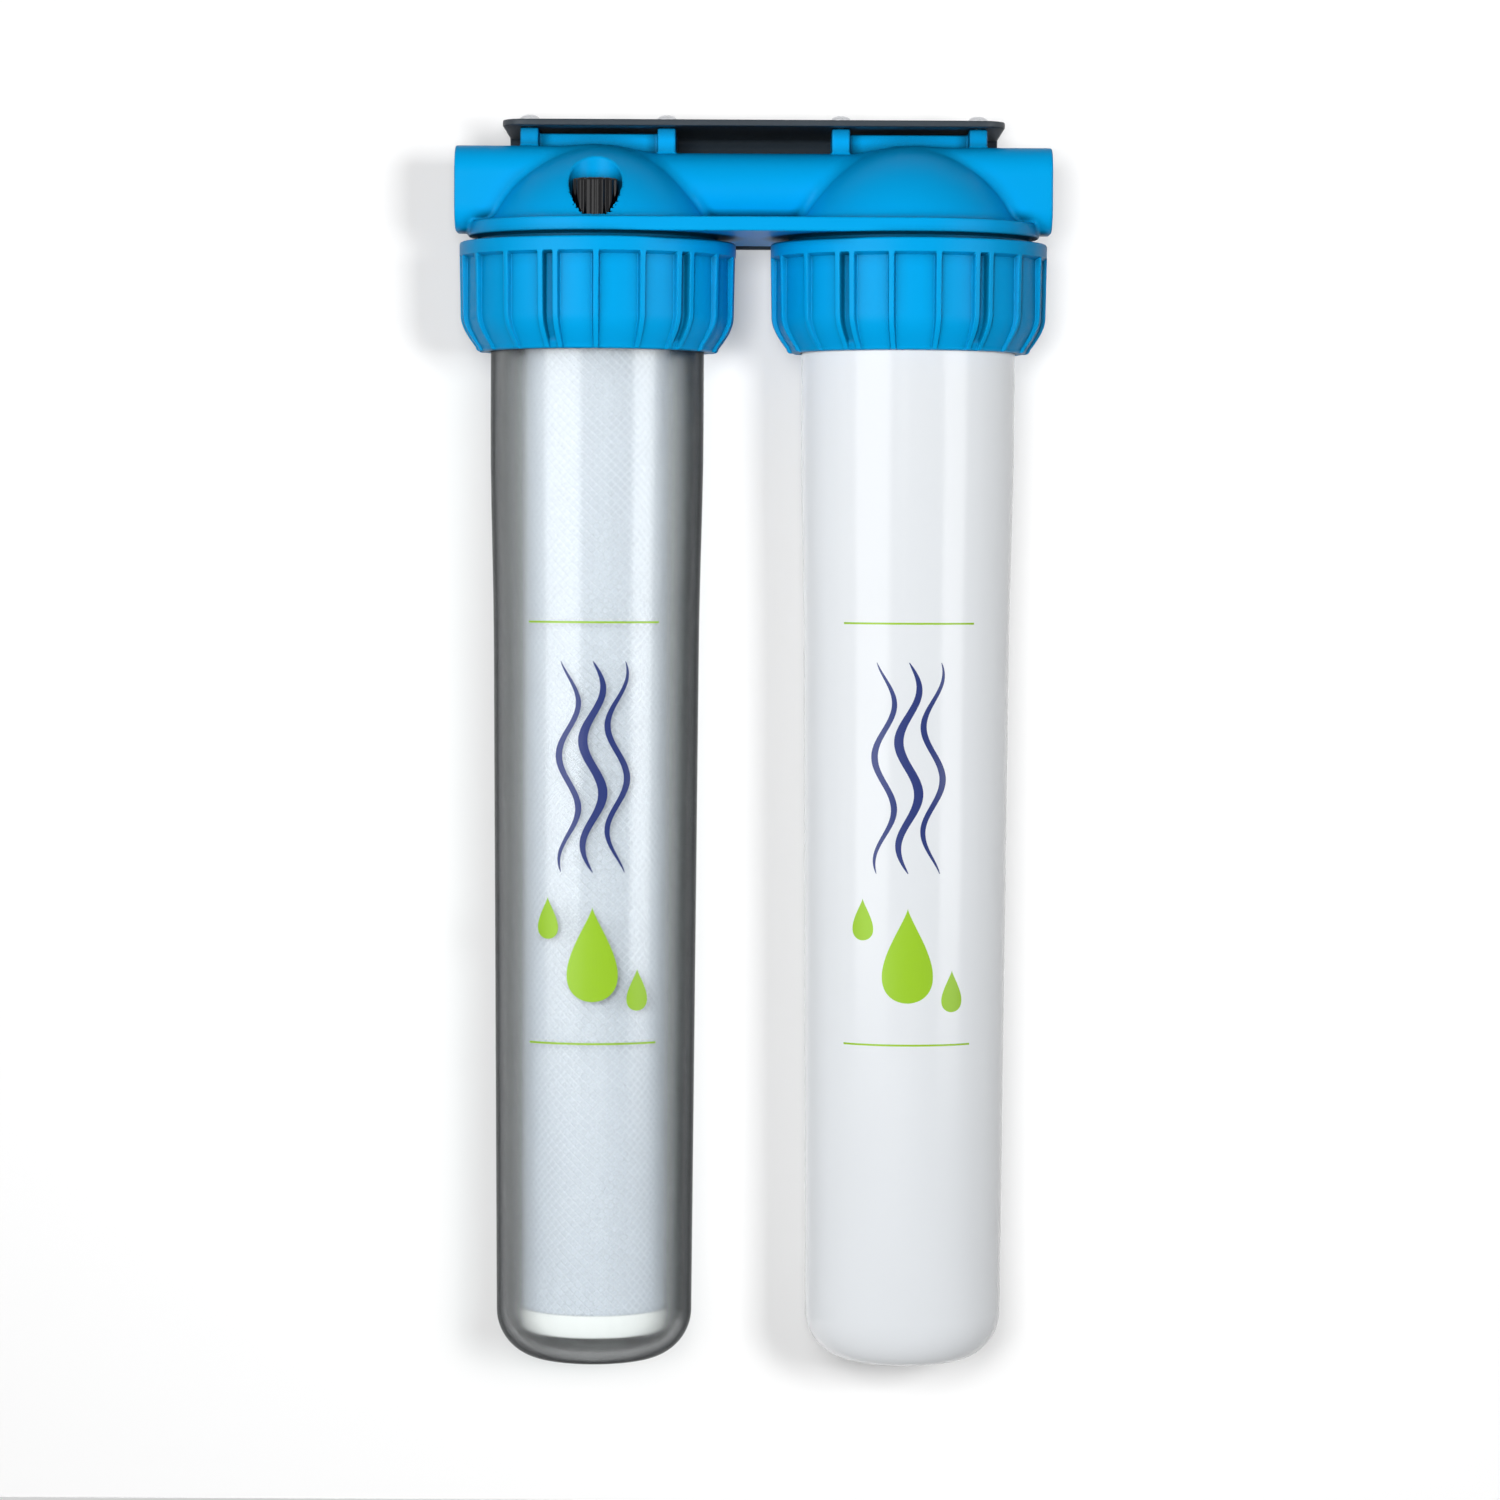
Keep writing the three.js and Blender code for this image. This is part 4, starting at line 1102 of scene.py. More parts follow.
class SOFTENER_OT_bowls(bpy.types.Operator):
    """Moulds the clear bowl and the white bowl from one profile"""
    bl_idname = "softener.bowls"
    bl_label = "Bowls"

    def execute(self, context):
        finishes = {
            "left": ("clear_bowl", clear_plastic(), "clear_plastic"),
            "right": ("white_bowl", white_plastic(), "white_bowl_plastic"),
        }
        for side, (name, material, slot) in finishes.items():
            outline = self.profile(context.scene.softener_bowl, side)
            mesh = turned_mesh(name, outline, BOWL_EDGE, BOWL_COLUMNS)
            fit_in_bowl(side, name, mesh, material, f"{side}_bowl", slot)
        return {"FINISHED"}

    def profile(self, bowl, side):
        bottom, rim_top = bottom_of(f"{side}_bowl"), top_of(f"{side}_bowl")
        rim_bottom = rim_top - bowl.rim_height
        rim_radius = node_radius(f"{side}_bowl")
        floor_top = bottom + bowl.floor
        inner_corner = bowl.corner - bowl.wall
        groove = bowl.seal_cord / 2 + FIT_GAP
        groove_bottom = rim_top - bowl.seal_cord
        seat_top = bottom_of(f"{side}_bottom_gasket") - FIT_GAP
        seat_outer = node_radius(f"{side}_bottom_gasket") - SEAT_INSET
        seat_inner = seat_outer - SEAT_WIDTH
        stub_top = bottom_of(f"{side}_bottom_cap") + STUB_REACH
        centre = bowl.foot_radius - bowl.corner
        straight_bottom = bottom + bowl.corner
        outside = [
            (bowl_radius(bowl, share), straight_bottom + (rim_bottom - straight_bottom) * share)
            for share in SIDE_SHARES
        ]
        inside = [(r - bowl.wall, z) for r, z in outside[-2::-1]]
        mark_inner, mark_outer = FOOT_MARK_RADII
        return [
            (0, bottom + FOOT_MARK_DEPTH), (mark_inner, bottom + FOOT_MARK_DEPTH), (mark_outer, bottom),
            *arc(centre, bottom + bowl.corner, bowl.corner, -90, 0, 16),
            *outside, (rim_radius, rim_bottom), (rim_radius, rim_top),
            (bowl.seal_radius + groove, rim_top), (bowl.seal_radius + groove, groove_bottom),
            (bowl.seal_radius - groove, groove_bottom), (bowl.seal_radius - groove, rim_top),
            (bowl.neck_radius - bowl.wall, rim_top), *inside,
            *arc(centre, floor_top + inner_corner, inner_corner, 0, -90, 16),
            (seat_outer, floor_top), (seat_outer, seat_top), (seat_inner, seat_top), (seat_inner, floor_top),
            (STUB_RADIUS, floor_top), (STUB_RADIUS, stub_top - STUB_CHAMFER),
            (STUB_RADIUS - STUB_CHAMFER, stub_top), (0, stub_top),
        ]


class SOFTENER_OT_seals(bpy.types.Operator):
    """Places the bowls' O-rings, the cartridges' gaskets and the vent's ring"""
    bl_idname = "softener.seals"
    bl_label = "Seals"

    def execute(self, context):
        bowl = context.scene.softener_bowl
        for side in SIDES:
            height = top_of(f"{side}_bowl_seal") - bowl.seal_cord / 2
            ring = self.ring_mesh("o_ring", bowl.seal_radius, height, bowl.seal_cord, 144)
            node = f"{side}_bowl_seal"
            fit_in_bowl(side, f"{side}_bowl_o_ring", ring, black_rubber(), node, "black_rubber")
            for end in ("top", "bottom"):
                node = f"{side}_{end}_gasket"
                outline = tube_outline(GASKET_BORE, node_radius(node), bottom_of(node), top_of(node))
                washer = turned_mesh("washer", outline, 0.5 * MM)
                fit_in_bowl(side, f"{side}_{end}_washer", washer, black_rubber(), node, "black_rubber")
        cord = top_of("vent_seal") - bottom_of("vent_seal")
        radius = node_radius("vent_seal") - cord / 2
        ring = self.ring_mesh("vent_ring", radius, middle("vent_seal", 2) - FLANGE, cord, 96)
        vent_ring = add_piece("vent_o_ring", ring, black_rubber(), VENT_PLACE)
        fit(vent_ring, "vent_lift", "vent_seal", "black_rubber")
        return {"FINISHED"}

    def ring_mesh(self, name, radius, height, cord, columns):
        return turned_mesh(name, arc(radius, height, cord / 2, 0, 360, 20)[:-1], 0, columns)


# Cartridges

CORE_BORE = 12.8 * MM
CORE_WALL = 1.7 * MM
SLEEVE_WALL = 2.8 * MM
CANISTER_WALL = 2.2 * MM
STUB_BORE = 12.3 * MM
STUB_CEILING = 5.3 * MM
SLOT_RADIUS = 28.8 * MM
SLOT_LENGTH = 5 * MM
SLOT_WIDTH = 2 * MM
SLOT_COUNT = 8
CAP_STEP = 0.7 * MM
CAP_FACES = 40000
LAP_ANGLE = math.radians(-78)
LAP_HEIGHT = 0.22 * MM
LAP_START = 0.96
LAP_RUN = 0.04
FELT_WAVE = 0.06 * MM
STRAND_LAYERS = ((1, 0.32), (-1, 0.62))
BEAD = 6 * MM
BEAD_ROWS = 384
BEAD_SHARPNESS = 2.4
BEAD_RELIEF = 0.6
DEEPEST_DIP = 0.6


class SOFTENER_OT_end_caps(bpy.types.Operator):
    """Moulds the four end caps, one of them slotted for the water"""
    bl_idname = "softener.end_caps"
    bl_label = "End Caps"

    def execute(self, context):
        for side in SIDES:
            for end in ("top", "bottom"):
                node = f"{side}_{end}_cap"
                cartridge = context.scene.softener_cartridge
                if node == "right_bottom_cap":
                    mesh = self.slotted_mesh(cartridge, node)
                else:
                    mesh = self.open_mesh(cartridge, node, end)
                fit_in_bowl(side, f"{node}_moulding", mesh, cap_plastic(), node, "cap_plastic")
        return {"FINISHED"}

    def open_mesh(self, cartridge, node, end):
        face_level = top_of(node) if end == "top" else bottom_of(node)
        up = -1 if end == "top" else 1
        radius = node_radius(node)
        inside = radius - cartridge.cap_wall
        outline = [
            (CORE_BORE, 0), (radius, 0), (radius, cartridge.cap_height), (inside, cartridge.cap_height),
            (inside, cartridge.cap_face), (CORE_BORE, cartridge.cap_face),
        ]
        placed = [(r, face_level + up * h) for r, h in outline]
        return turned_mesh(node, placed[::up], 0.5 * MM)

    def slotted_mesh(self, cartridge, node):
        bottom = bottom_of(node)
        radius = node_radius(node)

        def field(x, y, z):
            up = z - bottom
            across = np.hypot(x, y)
            form = overlap(across - radius, slab(up, 0, cartridge.cap_height), 0.6 * MM)
            hollow = np.maximum(across - radius + cartridge.cap_wall, cartridge.cap_face - up)
            post = overlap(across - STUB_BORE - CORE_WALL, up - STUB_CEILING - CORE_WALL, 0.5 * MM)
            form = cut(form, np.maximum(hollow, -post), 0.3 * MM)
            form = cut(form, np.maximum(across - STUB_BORE, up - STUB_CEILING), 0.3 * MM)
            sector = TURN / SLOT_COUNT
            angle = np.mod(np.arctan2(y, x) + sector / 2, sector) - sector / 2
            slot = rounded_square(
                across * np.cos(angle) - SLOT_RADIUS, across * np.sin(angle), SLOT_LENGTH / 2, SLOT_WIDTH / 2,
                SLOT_WIDTH / 2,
            )
            return cut(form, np.maximum(slot, up - 2 * cartridge.cap_face), 0.3 * MM)

        low, high = (-radius, -radius, bottom), (radius, radius, bottom + cartridge.cap_height)
        return cast_mesh(node, field, low, high, CAP_STEP, CAP_FACES)


class SOFTENER_OT_taste_cartridge(bpy.types.Operator):
    """Wraps the carbon block of the left cartridge in felt and net"""
    bl_idname = "softener.taste_cartridge"
    bl_label = "Taste Cartridge"

    def execute(self, context):
        bottom, top = bottom_of("net_sleeve"), top_of("net_sleeve")
        core = turned_mesh("core", tube_outline(CORE_BORE, CORE_BORE + CORE_WALL, bottom, top))
        fit_in_bowl("left", "core_tube_moulding", core, cap_plastic(), "core_tube", "cap_plastic")
        block_inner = CORE_BORE + CORE_WALL + FIT_GAP
        block = turned_mesh("block", tube_outline(block_inner, node_radius("carbon_block"), bottom, top), MM)
        fit_in_bowl("left", "carbon_block_pressing", block, pressed_carbon(), "carbon_block", "carbon")
        cartridge = context.scene.softener_cartridge
        felt_radius = node_radius("net_sleeve") - cartridge.net_cord
        felt = self.felt_mesh(felt_radius, bottom, top)
        fit_in_bowl("left", "felt_sleeve", felt, felt_wrap(), "net_sleeve", "net_sleeve")
        net = self.net_mesh(cartridge, felt_radius, bottom, top)
        fit_in_bowl("left", "sleeve_net", net, net_plastic(), slot="net_sleeve")
        return {"FINISHED"}

    def felt_mesh(self, radius, bottom, top):
        """Felt rolled once round the block, with its outer edge lapped over its start."""
        angles = LAP_ANGLE + np.linspace(0, TURN, 220, endpoint=False)
        heights = np.linspace(bottom, top, 90)[:, None]
        unrolled = (angles - LAP_ANGLE) / TURN
        lap = LAP_HEIGHT * smooth_step((unrolled - LAP_START) / LAP_RUN)
        lap = np.where(unrolled < 0.002, LAP_HEIGHT, lap)
        wave = FELT_WAVE * np.sin(5 * angles + 31 * heights) * np.sin(3 * angles - 57 * heights)
        outer = radius - LAP_HEIGHT + lap + wave
        rows = list(zip(outer, heights[:, 0]))
        rows.extend((radius - SLEEVE_WALL, z) for z in (top, bottom))
        return grid_mesh("felt", rings(rows, angles))

    def net_mesh(self, cartridge, radius, bottom, top):
        """Two sets of strands wound at 45 degrees, one over the other."""
        cord = cartridge.net_cord
        steps, sides = 170, 4
        run = np.linspace(0, 1, steps)
        vertices, faces = [], []
        for direction, layer in STRAND_LAYERS:
            middle_radius = radius + layer * cord
            sweep = direction * (top - bottom) / middle_radius
            for strand in range(cartridge.net_strands):
                turn = strand * TURN / cartridge.net_strands + sweep * run
                height = bottom + (top - bottom) * run
                outward = np.stack([np.cos(turn), np.sin(turn), np.zeros(steps)], axis=1)
                sideways = np.stack([
                    -direction * np.sin(turn), direction * np.cos(turn), -np.ones(steps),
                ], axis=1) / math.sqrt(2)
                spine = outward * middle_radius + np.stack([0 * run, 0 * run, height], axis=1)
                first = len(vertices) * sides * steps
                ring = [
                    spine + cord / 2 * (math.cos(a) * outward + math.sin(a) * sideways)
                    for a in np.linspace(0, TURN, sides, endpoint=False)
                ]
                vertices.append(np.stack(ring, axis=1).reshape(-1, 3))
                ids = first + np.arange(steps * sides).reshape(steps, sides)
                a, b = ids[:-1], np.roll(ids[:-1], -1, axis=1)
                c, d = np.roll(ids[1:], -1, axis=1), ids[1:]
                order = (a, b, c, d) if direction > 0 else (d, c, b, a)
                faces.append(np.stack(order, axis=2).reshape(-1, 4))
                faces.append(np.array([ids[0][::-direction], ids[-1][::direction]]))
        mesh = bpy.data.meshes.new("net")
        mesh.from_pydata(np.concatenate(vertices).tolist(), [], np.concatenate(faces).tolist())
        mesh.shade_smooth()
        return mesh


class SOFTENER_OT_softener_cartridge(bpy.types.Operator):
    """Fills the canister of the right cartridge with media between two felt screens"""
    bl_idname = "softener.softener_cartridge"
    bl_label = "Softener Cartridge"

    def execute(self, context):
        radius = node_radius("canister")
        outline = tube_outline(radius - CANISTER_WALL, radius, bottom_of("canister"), top_of("canister"))
        shell = turned_mesh("canister", outline, 0.6 * MM)
        fit_in_bowl("right", "canister_shell", shell, cap_plastic(), "canister", "cap_plastic")
        for node in ("lower_screen", "upper_screen"):
            r, low, high = node_radius(node), bottom_of(node), top_of(node)
            disc = turned_mesh(node, [(0, low), (r, low), (r, high), (0, high)], 0.8 * MM)
            fit_in_bowl("right", f"{node}_felt", disc, felt_screen(), node, "felt")
        fit_in_bowl("right", "media_fill", self.media_mesh(), media_beads(), "media_bed", "media_beads")
        return {"FINISHED"}

    def media_mesh(self):
        """The bed's side shows the outermost beads, packed in offset rows."""
        radius, bottom, top = node_radius("media_bed"), bottom_of("media_bed"), top_of("media_bed")
        across = round(TURN * radius / BEAD)
        angles = np.linspace(0, TURN, across * 4, endpoint=False)
        rows = [(0, bottom)]
        for z in np.linspace(bottom, top, BEAD_ROWS):
            layer = (z - bottom) / (BEAD * math.sqrt(3) / 2)
            up = (layer - round(layer)) * math.sqrt(3) / 2
            shift = 0.5 * (round(layer) % 2)
            side = np.mod(angles * across / TURN + shift, 1) - 0.5
            dip = 1 - np.sqrt(np.maximum(1 - BEAD_SHARPNESS * (side ** 2 + up ** 2), 0.1))
            rows.append((radius - BEAD_RELIEF * BEAD * np.minimum(dip, DEEPEST_DIP), z))
        rows.append((0, top))
        return grid_mesh("media", rings(rows, angles))


# Ports, vent, bracket and screws

INSERT_BORE = 12.1 * MM
INSERT_CHAMFER = 1.2 * MM


class SOFTENER_OT_port_inserts(bpy.types.Operator):
    """Turns the two brass inserts with their pipe threads"""
    bl_idname = "softener.port_inserts"
    bl_label = "Port Inserts"

    def execute(self, context):
        for node, mouth in (("inlet_insert", -1), ("outlet_insert", 1)):
            mesh = self.insert_mesh(context.scene.softener_thread, node)
            place = (mouth * HALF_SPAN, AXIS_Y, FLANGE + PORT_HEIGHT)
            insert = add_piece(f"{node}_brass", mesh, turned_brass(), place)
            insert.rotation_euler = (0, mouth * math.pi / 2, 0)
            context.view_layer.update()
            fit(insert, "head_and_bracket", node, "brass")
        return {"FINISHED"}

    def insert_mesh(self, thread, node):
        """Built with its mouth up at height zero."""
        low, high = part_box(node)
        depth = high.x - low.x
        radius = port_radius()
        root = INSERT_BORE + thread.pipe_depth
        angles = np.linspace(0, TURN, 128, endpoint=False)
        rows = rounded([
            (root, -depth), (radius - INSERT_CHAMFER, -depth), (radius, -depth + INSERT_CHAMFER),
            (radius, 0), (INSERT_BORE + 1.6 * MM, 0), (INSERT_BORE + 0.2 * MM, -1.4 * MM),
        ], 0.3 * MM)
        for z in np.linspace(-1.6 * MM, -depth + 0.4 * MM, 110):
            run = fade(z, -depth, 0, 1.5 * MM)
            ridge = thread_ridge(z, angles, thread.pipe_lead)
            rows.append((INSERT_BORE + thread.pipe_depth * (1 - run * ridge), z))
        return grid_mesh(node, rings(rows, angles))


FLUTE_COUNT = 12
FLUTE_DEPTH = 0.9 * MM
GRIP_MARGIN = 0.9 * MM
GRIP_LIFT = 0.7 * MM
DISH_RADIUS = 21.6 * MM
DISH_RISE = 21 * MM
STEM_RADIUS = 3 * MM
STEM_THREAD = 0.45 * MM
VENT_LEAD = 1.25 * MM
KNOB_SLOPE = 0.9
KNOB_EDGE = 0.5 * MM
KNOB_TOP_EDGE = 1.2 * MM
KNOB_STEP = 0.28 * MM
KNOB_FACES = 90000


class SOFTENER_OT_vent_knob(bpy.types.Operator):
    """Moulds the fluted black vent knob with its threaded stem"""
    bl_idname = "softener.vent_knob"
    bl_label = "Vent Knob"

    def execute(self, context):
        head = context.scene.softener_head
        radius = node_radius("vent_knob") + GRIP_MARGIN
        tip, top = bottom_of("vent_knob"), top_of("vent_knob")
        grip_bottom = head.flange_thickness + GRIP_LIFT

        def field(x, y, z):
            across = np.hypot(x, y)
            angle = np.arctan2(y, x)
            flute = 0.5 + 0.5 * np.cos(FLUTE_COUNT * angle)
            grip = KNOB_SLOPE * (across - radius + FLUTE_DEPTH * flute ** 2)
            form = overlap(grip, grip_bottom - z, KNOB_EDGE)
            form = overlap(form, z - top, KNOB_TOP_EDGE)
            dish = np.hypot(across, z - top - DISH_RISE) - DISH_RADIUS
            form = cut(form, dish, KNOB_EDGE)
            ridge = thread_ridge(z, angle, VENT_LEAD)
            stem = overlap(across - STEM_RADIUS + STEM_THREAD * (1 - ridge), tip - z, 0.8 * MM)
            return np.minimum(form, np.maximum(stem, z - grip_bottom - MM))

        low, high = (-radius, -radius, tip), (radius, radius, top)
        mesh = cast_mesh("vent_knob", field, low, high, KNOB_STEP, KNOB_FACES)
        knob = add_piece("vent_knob_grip", mesh, black_plastic(), VENT_PLACE)
        fit(knob, "vent_screw", "vent_knob", "black_plastic")
        return {"FINISHED"}


BRACKET_THICKNESS = 3 * MM
BRACKET_BEND = 6.5 * MM
BRACKET_CORNER = 12 * MM
BRACKET_HOLE = 2.75 * MM
WALL_SLOT_PLACES = (48 * MM, 100 * MM)
WALL_SLOT_HALF = 4.5 * MM
WALL_SLOT_RADIUS = 3.5 * MM
WALL_SLOT_RISE = 8 * MM
BRACKET_STEP = 0.9 * MM
BRACKET_FACES = 70000


class SOFTENER_OT_bracket(bpy.types.Operator):
    """Folds the slate wall bracket with its screw holes and wall slots"""
    bl_idname = "softener.bracket"
    bl_label = "Bracket"

    def execute(self, context):
        rail_offset = context.scene.softener_head.rail_offset
        low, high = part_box("wall_bracket")
        half_width = high.x
        front, wall = low.y - AXIS_Y, high.y - AXIS_Y
        bottom, top = bottom_of("wall_bracket"), top_of("wall_bracket")
        bend_y = wall - BRACKET_THICKNESS / 2 - BRACKET_BEND
        bend_z = top - BRACKET_THICKNESS / 2 - BRACKET_BEND
        slot_height = (top + bottom) / 2 - WALL_SLOT_RISE
        reach = wall - front

        def field(x, y, z):
            from_bend = np.hypot(np.maximum(y - bend_y, 0), np.maximum(z - bend_z, 0))
            sheet = np.abs(from_bend - BRACKET_BEND) - BRACKET_THICKNESS / 2
            plan = rounded_square(x, y - front - reach, half_width, reach, BRACKET_CORNER)
            elevation = rounded_square(x, z - bottom - reach, half_width, reach, BRACKET_CORNER)
            form = overlap(sheet, np.maximum(plan, elevation), 0.5 * MM)
            for row in SCREW_ROWS:
                hole = np.hypot(np.abs(np.abs(x) - HALF_SPACING) - rail_offset, y - row) - BRACKET_HOLE
                form = cut(form, np.maximum(hole, bend_z - z), 0.3 * MM)
            for place in WALL_SLOT_PLACES:
                rise = np.maximum(np.abs(z - slot_height) - WALL_SLOT_HALF, 0)
                slot = np.hypot(np.abs(x) - place, rise) - WALL_SLOT_RADIUS
                form = cut(form, np.maximum(slot, bend_y - y), 0.3 * MM)
            return form

        low, high = (-half_width, front, bottom), (half_width, wall, top)
        mesh = cast_mesh("bracket", field, low, high, BRACKET_STEP, BRACKET_FACES)
        bracket = add_piece("bracket_plate", mesh, powder_coat(), (0, AXIS_Y, FLANGE))
        fit(bracket, "head_and_bracket", "wall_bracket", "slate_paint")
        return {"FINISHED"}


SCREW_HEAD_HEIGHT = 2.8 * MM
SCREW_CROWN = 7.5 * MM
SCREW_SHANK = 2.1 * MM
SCREW_THREAD = 0.5 * MM
SCREW_LEAD = 1.6 * MM
CROSS_HALF_WIDTH = 0.55 * MM
CROSS_REACH = 2.5 * MM
CROSS_DEPTH = 1.9 * MM
POINT_SLOPE = 0.9
POINT_RADIUS = 0.3 * MM
SCREW_STEP = 0.22 * MM
SCREW_FACES = 24000


class SOFTENER_OT_bracket_screws(bpy.types.Operator):
    """Rolls the eight pan-head screws with their cross recesses and threads"""
    bl_idname = "softener.bracket_screws"
    bl_label = "Bracket Screws"

    def execute(self, context):
        names = sorted(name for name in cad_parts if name.startswith("bracket_screw_"))
        mesh = self.screw_mesh(names[0])
        for name in names:
            screw = bpy.data.objects.new(f"{name}_zinc", mesh)
            screw.location = (middle(name, 0), middle(name, 1), FLANGE)
            context.scene.collection.objects.link(screw)
            fit(screw, "head_and_bracket", name, "zinc_steel")
        return {"FINISHED"}

    def screw_mesh(self, node):
        tip, top = bottom_of(node), top_of(node)
        radius = node_radius(node)
        seat = top - SCREW_HEAD_HEIGHT

        def field(x, y, z):
            across = np.hypot(x, y)
            head = overlap(across - radius, seat - z, 0.2 * MM)
            head = overlap(head, np.hypot(across, z - top + SCREW_CROWN) - SCREW_CROWN, 0.5 * MM)
            depth = top - z
            wing = np.minimum(*(
                np.maximum(np.abs(a) - CROSS_HALF_WIDTH, np.abs(b) - CROSS_REACH + 0.5 * depth)
                for a, b in ((x, y), (y, x))
            ))
            head = cut(head, np.maximum(wing, depth - CROSS_DEPTH), 0.1 * MM)
            ridge = thread_ridge(z, np.arctan2(y, x), SCREW_LEAD)
            point = (z - tip) * POINT_SLOPE + POINT_RADIUS
            body = np.maximum(across - SCREW_SHANK + SCREW_THREAD * (1 - ridge), across - point)
            return np.minimum(head, np.maximum(np.maximum(body, tip - z), z - seat - MM))

        low, high = (-radius, -radius, tip), (radius, radius, top)
        mesh = cast_mesh(node, field, low, high, SCREW_STEP, SCREW_FACES)
        mesh.materials.append(zinc_plate())
        return mesh


# Labels

INK_LIFT = 0.02 * MM
RIBBON_SWING = 4.5 * MM
RIBBON_START = 0.09
RIBBON_RUN = 0.5
RIBBONS = ((-11 * MM, 0.7, -0.9), (0, 1.0, 0.0), (11 * MM, 0.7, 0.9))
DROPS = ((0, 0.785, 17 * MM), (-21 * MM, 0.7, 7.5 * MM), (21 * MM, 0.87, 7.5 * MM))
DROP_SHARPNESS = 1.6
DROP_STRETCH = 1.3


class SOFTENER_OT_labels(bpy.types.Operator):
    """Prints a plain pattern of waves and drops on both bowls"""
    bl_idname = "softener.labels"
    bl_label = "Labels"

    def execute(self, context):
        label = context.scene.softener_label
        navy = print_ink("navy_print", label.navy)
        green = print_ink("green_print", label.green)
        for side in SIDES:
            grids = self.hairlines(label) + self.drops(label)
            self.print_piece(context.scene, f"{side}_green_print", grids, green, side)
            self.print_piece(context.scene, f"{side}_navy_print", self.ribbons(label), navy, side)
        return {"FINISHED"}

    def hairlines(self, label):
        """Grids of (across, height) points for a line at the print's top and one at its bottom."""
        across = np.linspace(-label.width / 2, label.width / 2, 48)
        return [
            np.array([[(s, level + rise) for s in across] for rise in (0, label.line)])
            for level in (label.top, label.top - label.height)
        ]

    def ribbons(self, label):
        """Three wavy ribbons that run down the upper part of the print."""
        run = np.linspace(0, 1, 160)
        height = label.top - label.height * (RIBBON_START + RIBBON_RUN * run)
        grids = []
        for offset, share, phase in RIBBONS:
            centre = offset + RIBBON_SWING * np.sin(2 * TURN * run + phase)
            width = label.ribbon * share * np.sqrt(np.sin(math.pi * np.clip(run, 0.003, 0.997)))
            grids.append(np.stack([
                np.stack([centre + side * width / 2, height], axis=1) for side in (-1, 0, 1)
            ]))
        return grids

    def drops(self, label):
        """Three drops that hang under the ribbons."""
        angles = np.linspace(math.pi - 0.02, 0.02, 40)
        half_width = np.sin(angles) * np.sin(angles / 2) ** DROP_SHARPNESS
        grids = []
        for across, share, size in DROPS:
            height = label.top - label.height * share + DROP_STRETCH * size * np.cos(angles)
            grids.append(np.stack([
                np.stack([across + side * half_width * size, height], axis=1)
                for side in np.linspace(-1, 1, 15)
            ]))
        return grids

    def print_piece(self, scene, name, grids, material, side):
        """Wraps flat grids round the bowl as closed films of ink."""
        bowl, label = scene.softener_bowl, scene.softener_label
        straight_bottom = bottom_of(f"{side}_bowl") + bowl.corner
        straight_top = top_of(f"{side}_bowl") - bowl.rim_height
        vertices, faces = [], []
        count = 0
        for grid in grids:
            rise = (grid[:, :, 1] - straight_bottom) / (straight_top - straight_bottom)
            for lift in (INK_LIFT, label.film):
                radius = bowl_radius(bowl, rise) + lift
                angle = grid[:, :, 0] / bowl.foot_radius - math.pi / 2
                wrapped = np.stack([radius * np.cos(angle), radius * np.sin(angle), grid[:, :, 1]], axis=2)
                vertices.append(wrapped.reshape(-1, 3))
            under = count + np.arange(grid.shape[0] * grid.shape[1]).reshape(grid.shape[:2])
            over = under + under.size
            count += 2 * under.size
            for ids, order in ((under, 1), (over, -1)):
                quads = np.stack([ids[:-1, :-1], ids[:-1, 1:], ids[1:, 1:], ids[1:, :-1]][::order], axis=2)
                faces.append(quads.reshape(-1, 4))
            rim = np.concatenate([under[0, :-1], under[:-1, -1], under[-1, :0:-1], under[:0:-1, 0]])
            after = np.roll(rim, -1)
            faces.append(np.stack([rim + under.size, after + under.size, after, rim], axis=1))
        mesh = bpy.data.meshes.new(name)
        mesh.from_pydata(np.concatenate(vertices).tolist(), [], np.concatenate(faces).tolist())
        fit_in_bowl(side, name, mesh, material)


# Studio

# Each softbox and lamp: its azimuth in degrees, its width and the setting of its light
SOFTBOXES = {"left_softbox": (-38, 1.3, "left_glow"), "right_softbox": (52, 0.8, "right_glow")}
LAMPS = {
    "key": (-4, 0.45, "key_level"), "fill": (-24, 0.9, "fill_level"),
    "back": (180, 1.2, "back_level"), "wall_key": (17, 0.36, "wall_level"),
}
LAMP_HEIGHT = -60 * MM
LAMP_DISTANCE = 2.2
SOFTBOX_DISTANCE = 1.8
SOFTBOX_HEIGHT = 1.05
ROOM_REACH = 3.0
BOWL_DROP = 30 * MM
WALL_OFFSET = 0.6 * MM
CAMERA_SHIFT = -0.4 * MM
WHITE = (1.0, 1.0, 1.0)
# Each paint: its tone where it is seen, its tone where light bounces, and its glow
WALL_PAINT = (0.52, 0.05, 0.28)
FLOOR_PAINT = (0.7, 0.1, 0.4)


def seen_rays(tree):
    """1 for rays from the camera, off gloss and through glass, with the Light Path's outputs."""
    path = tree.nodes.new("ShaderNodeLightPath").outputs
    seen = calculate(tree, "MAXIMUM", path["Is Camera Ray"], path["Is Glossy Ray"])
    return calculate(tree, "MAXIMUM", seen, path["Is Transmission Ray"]), path


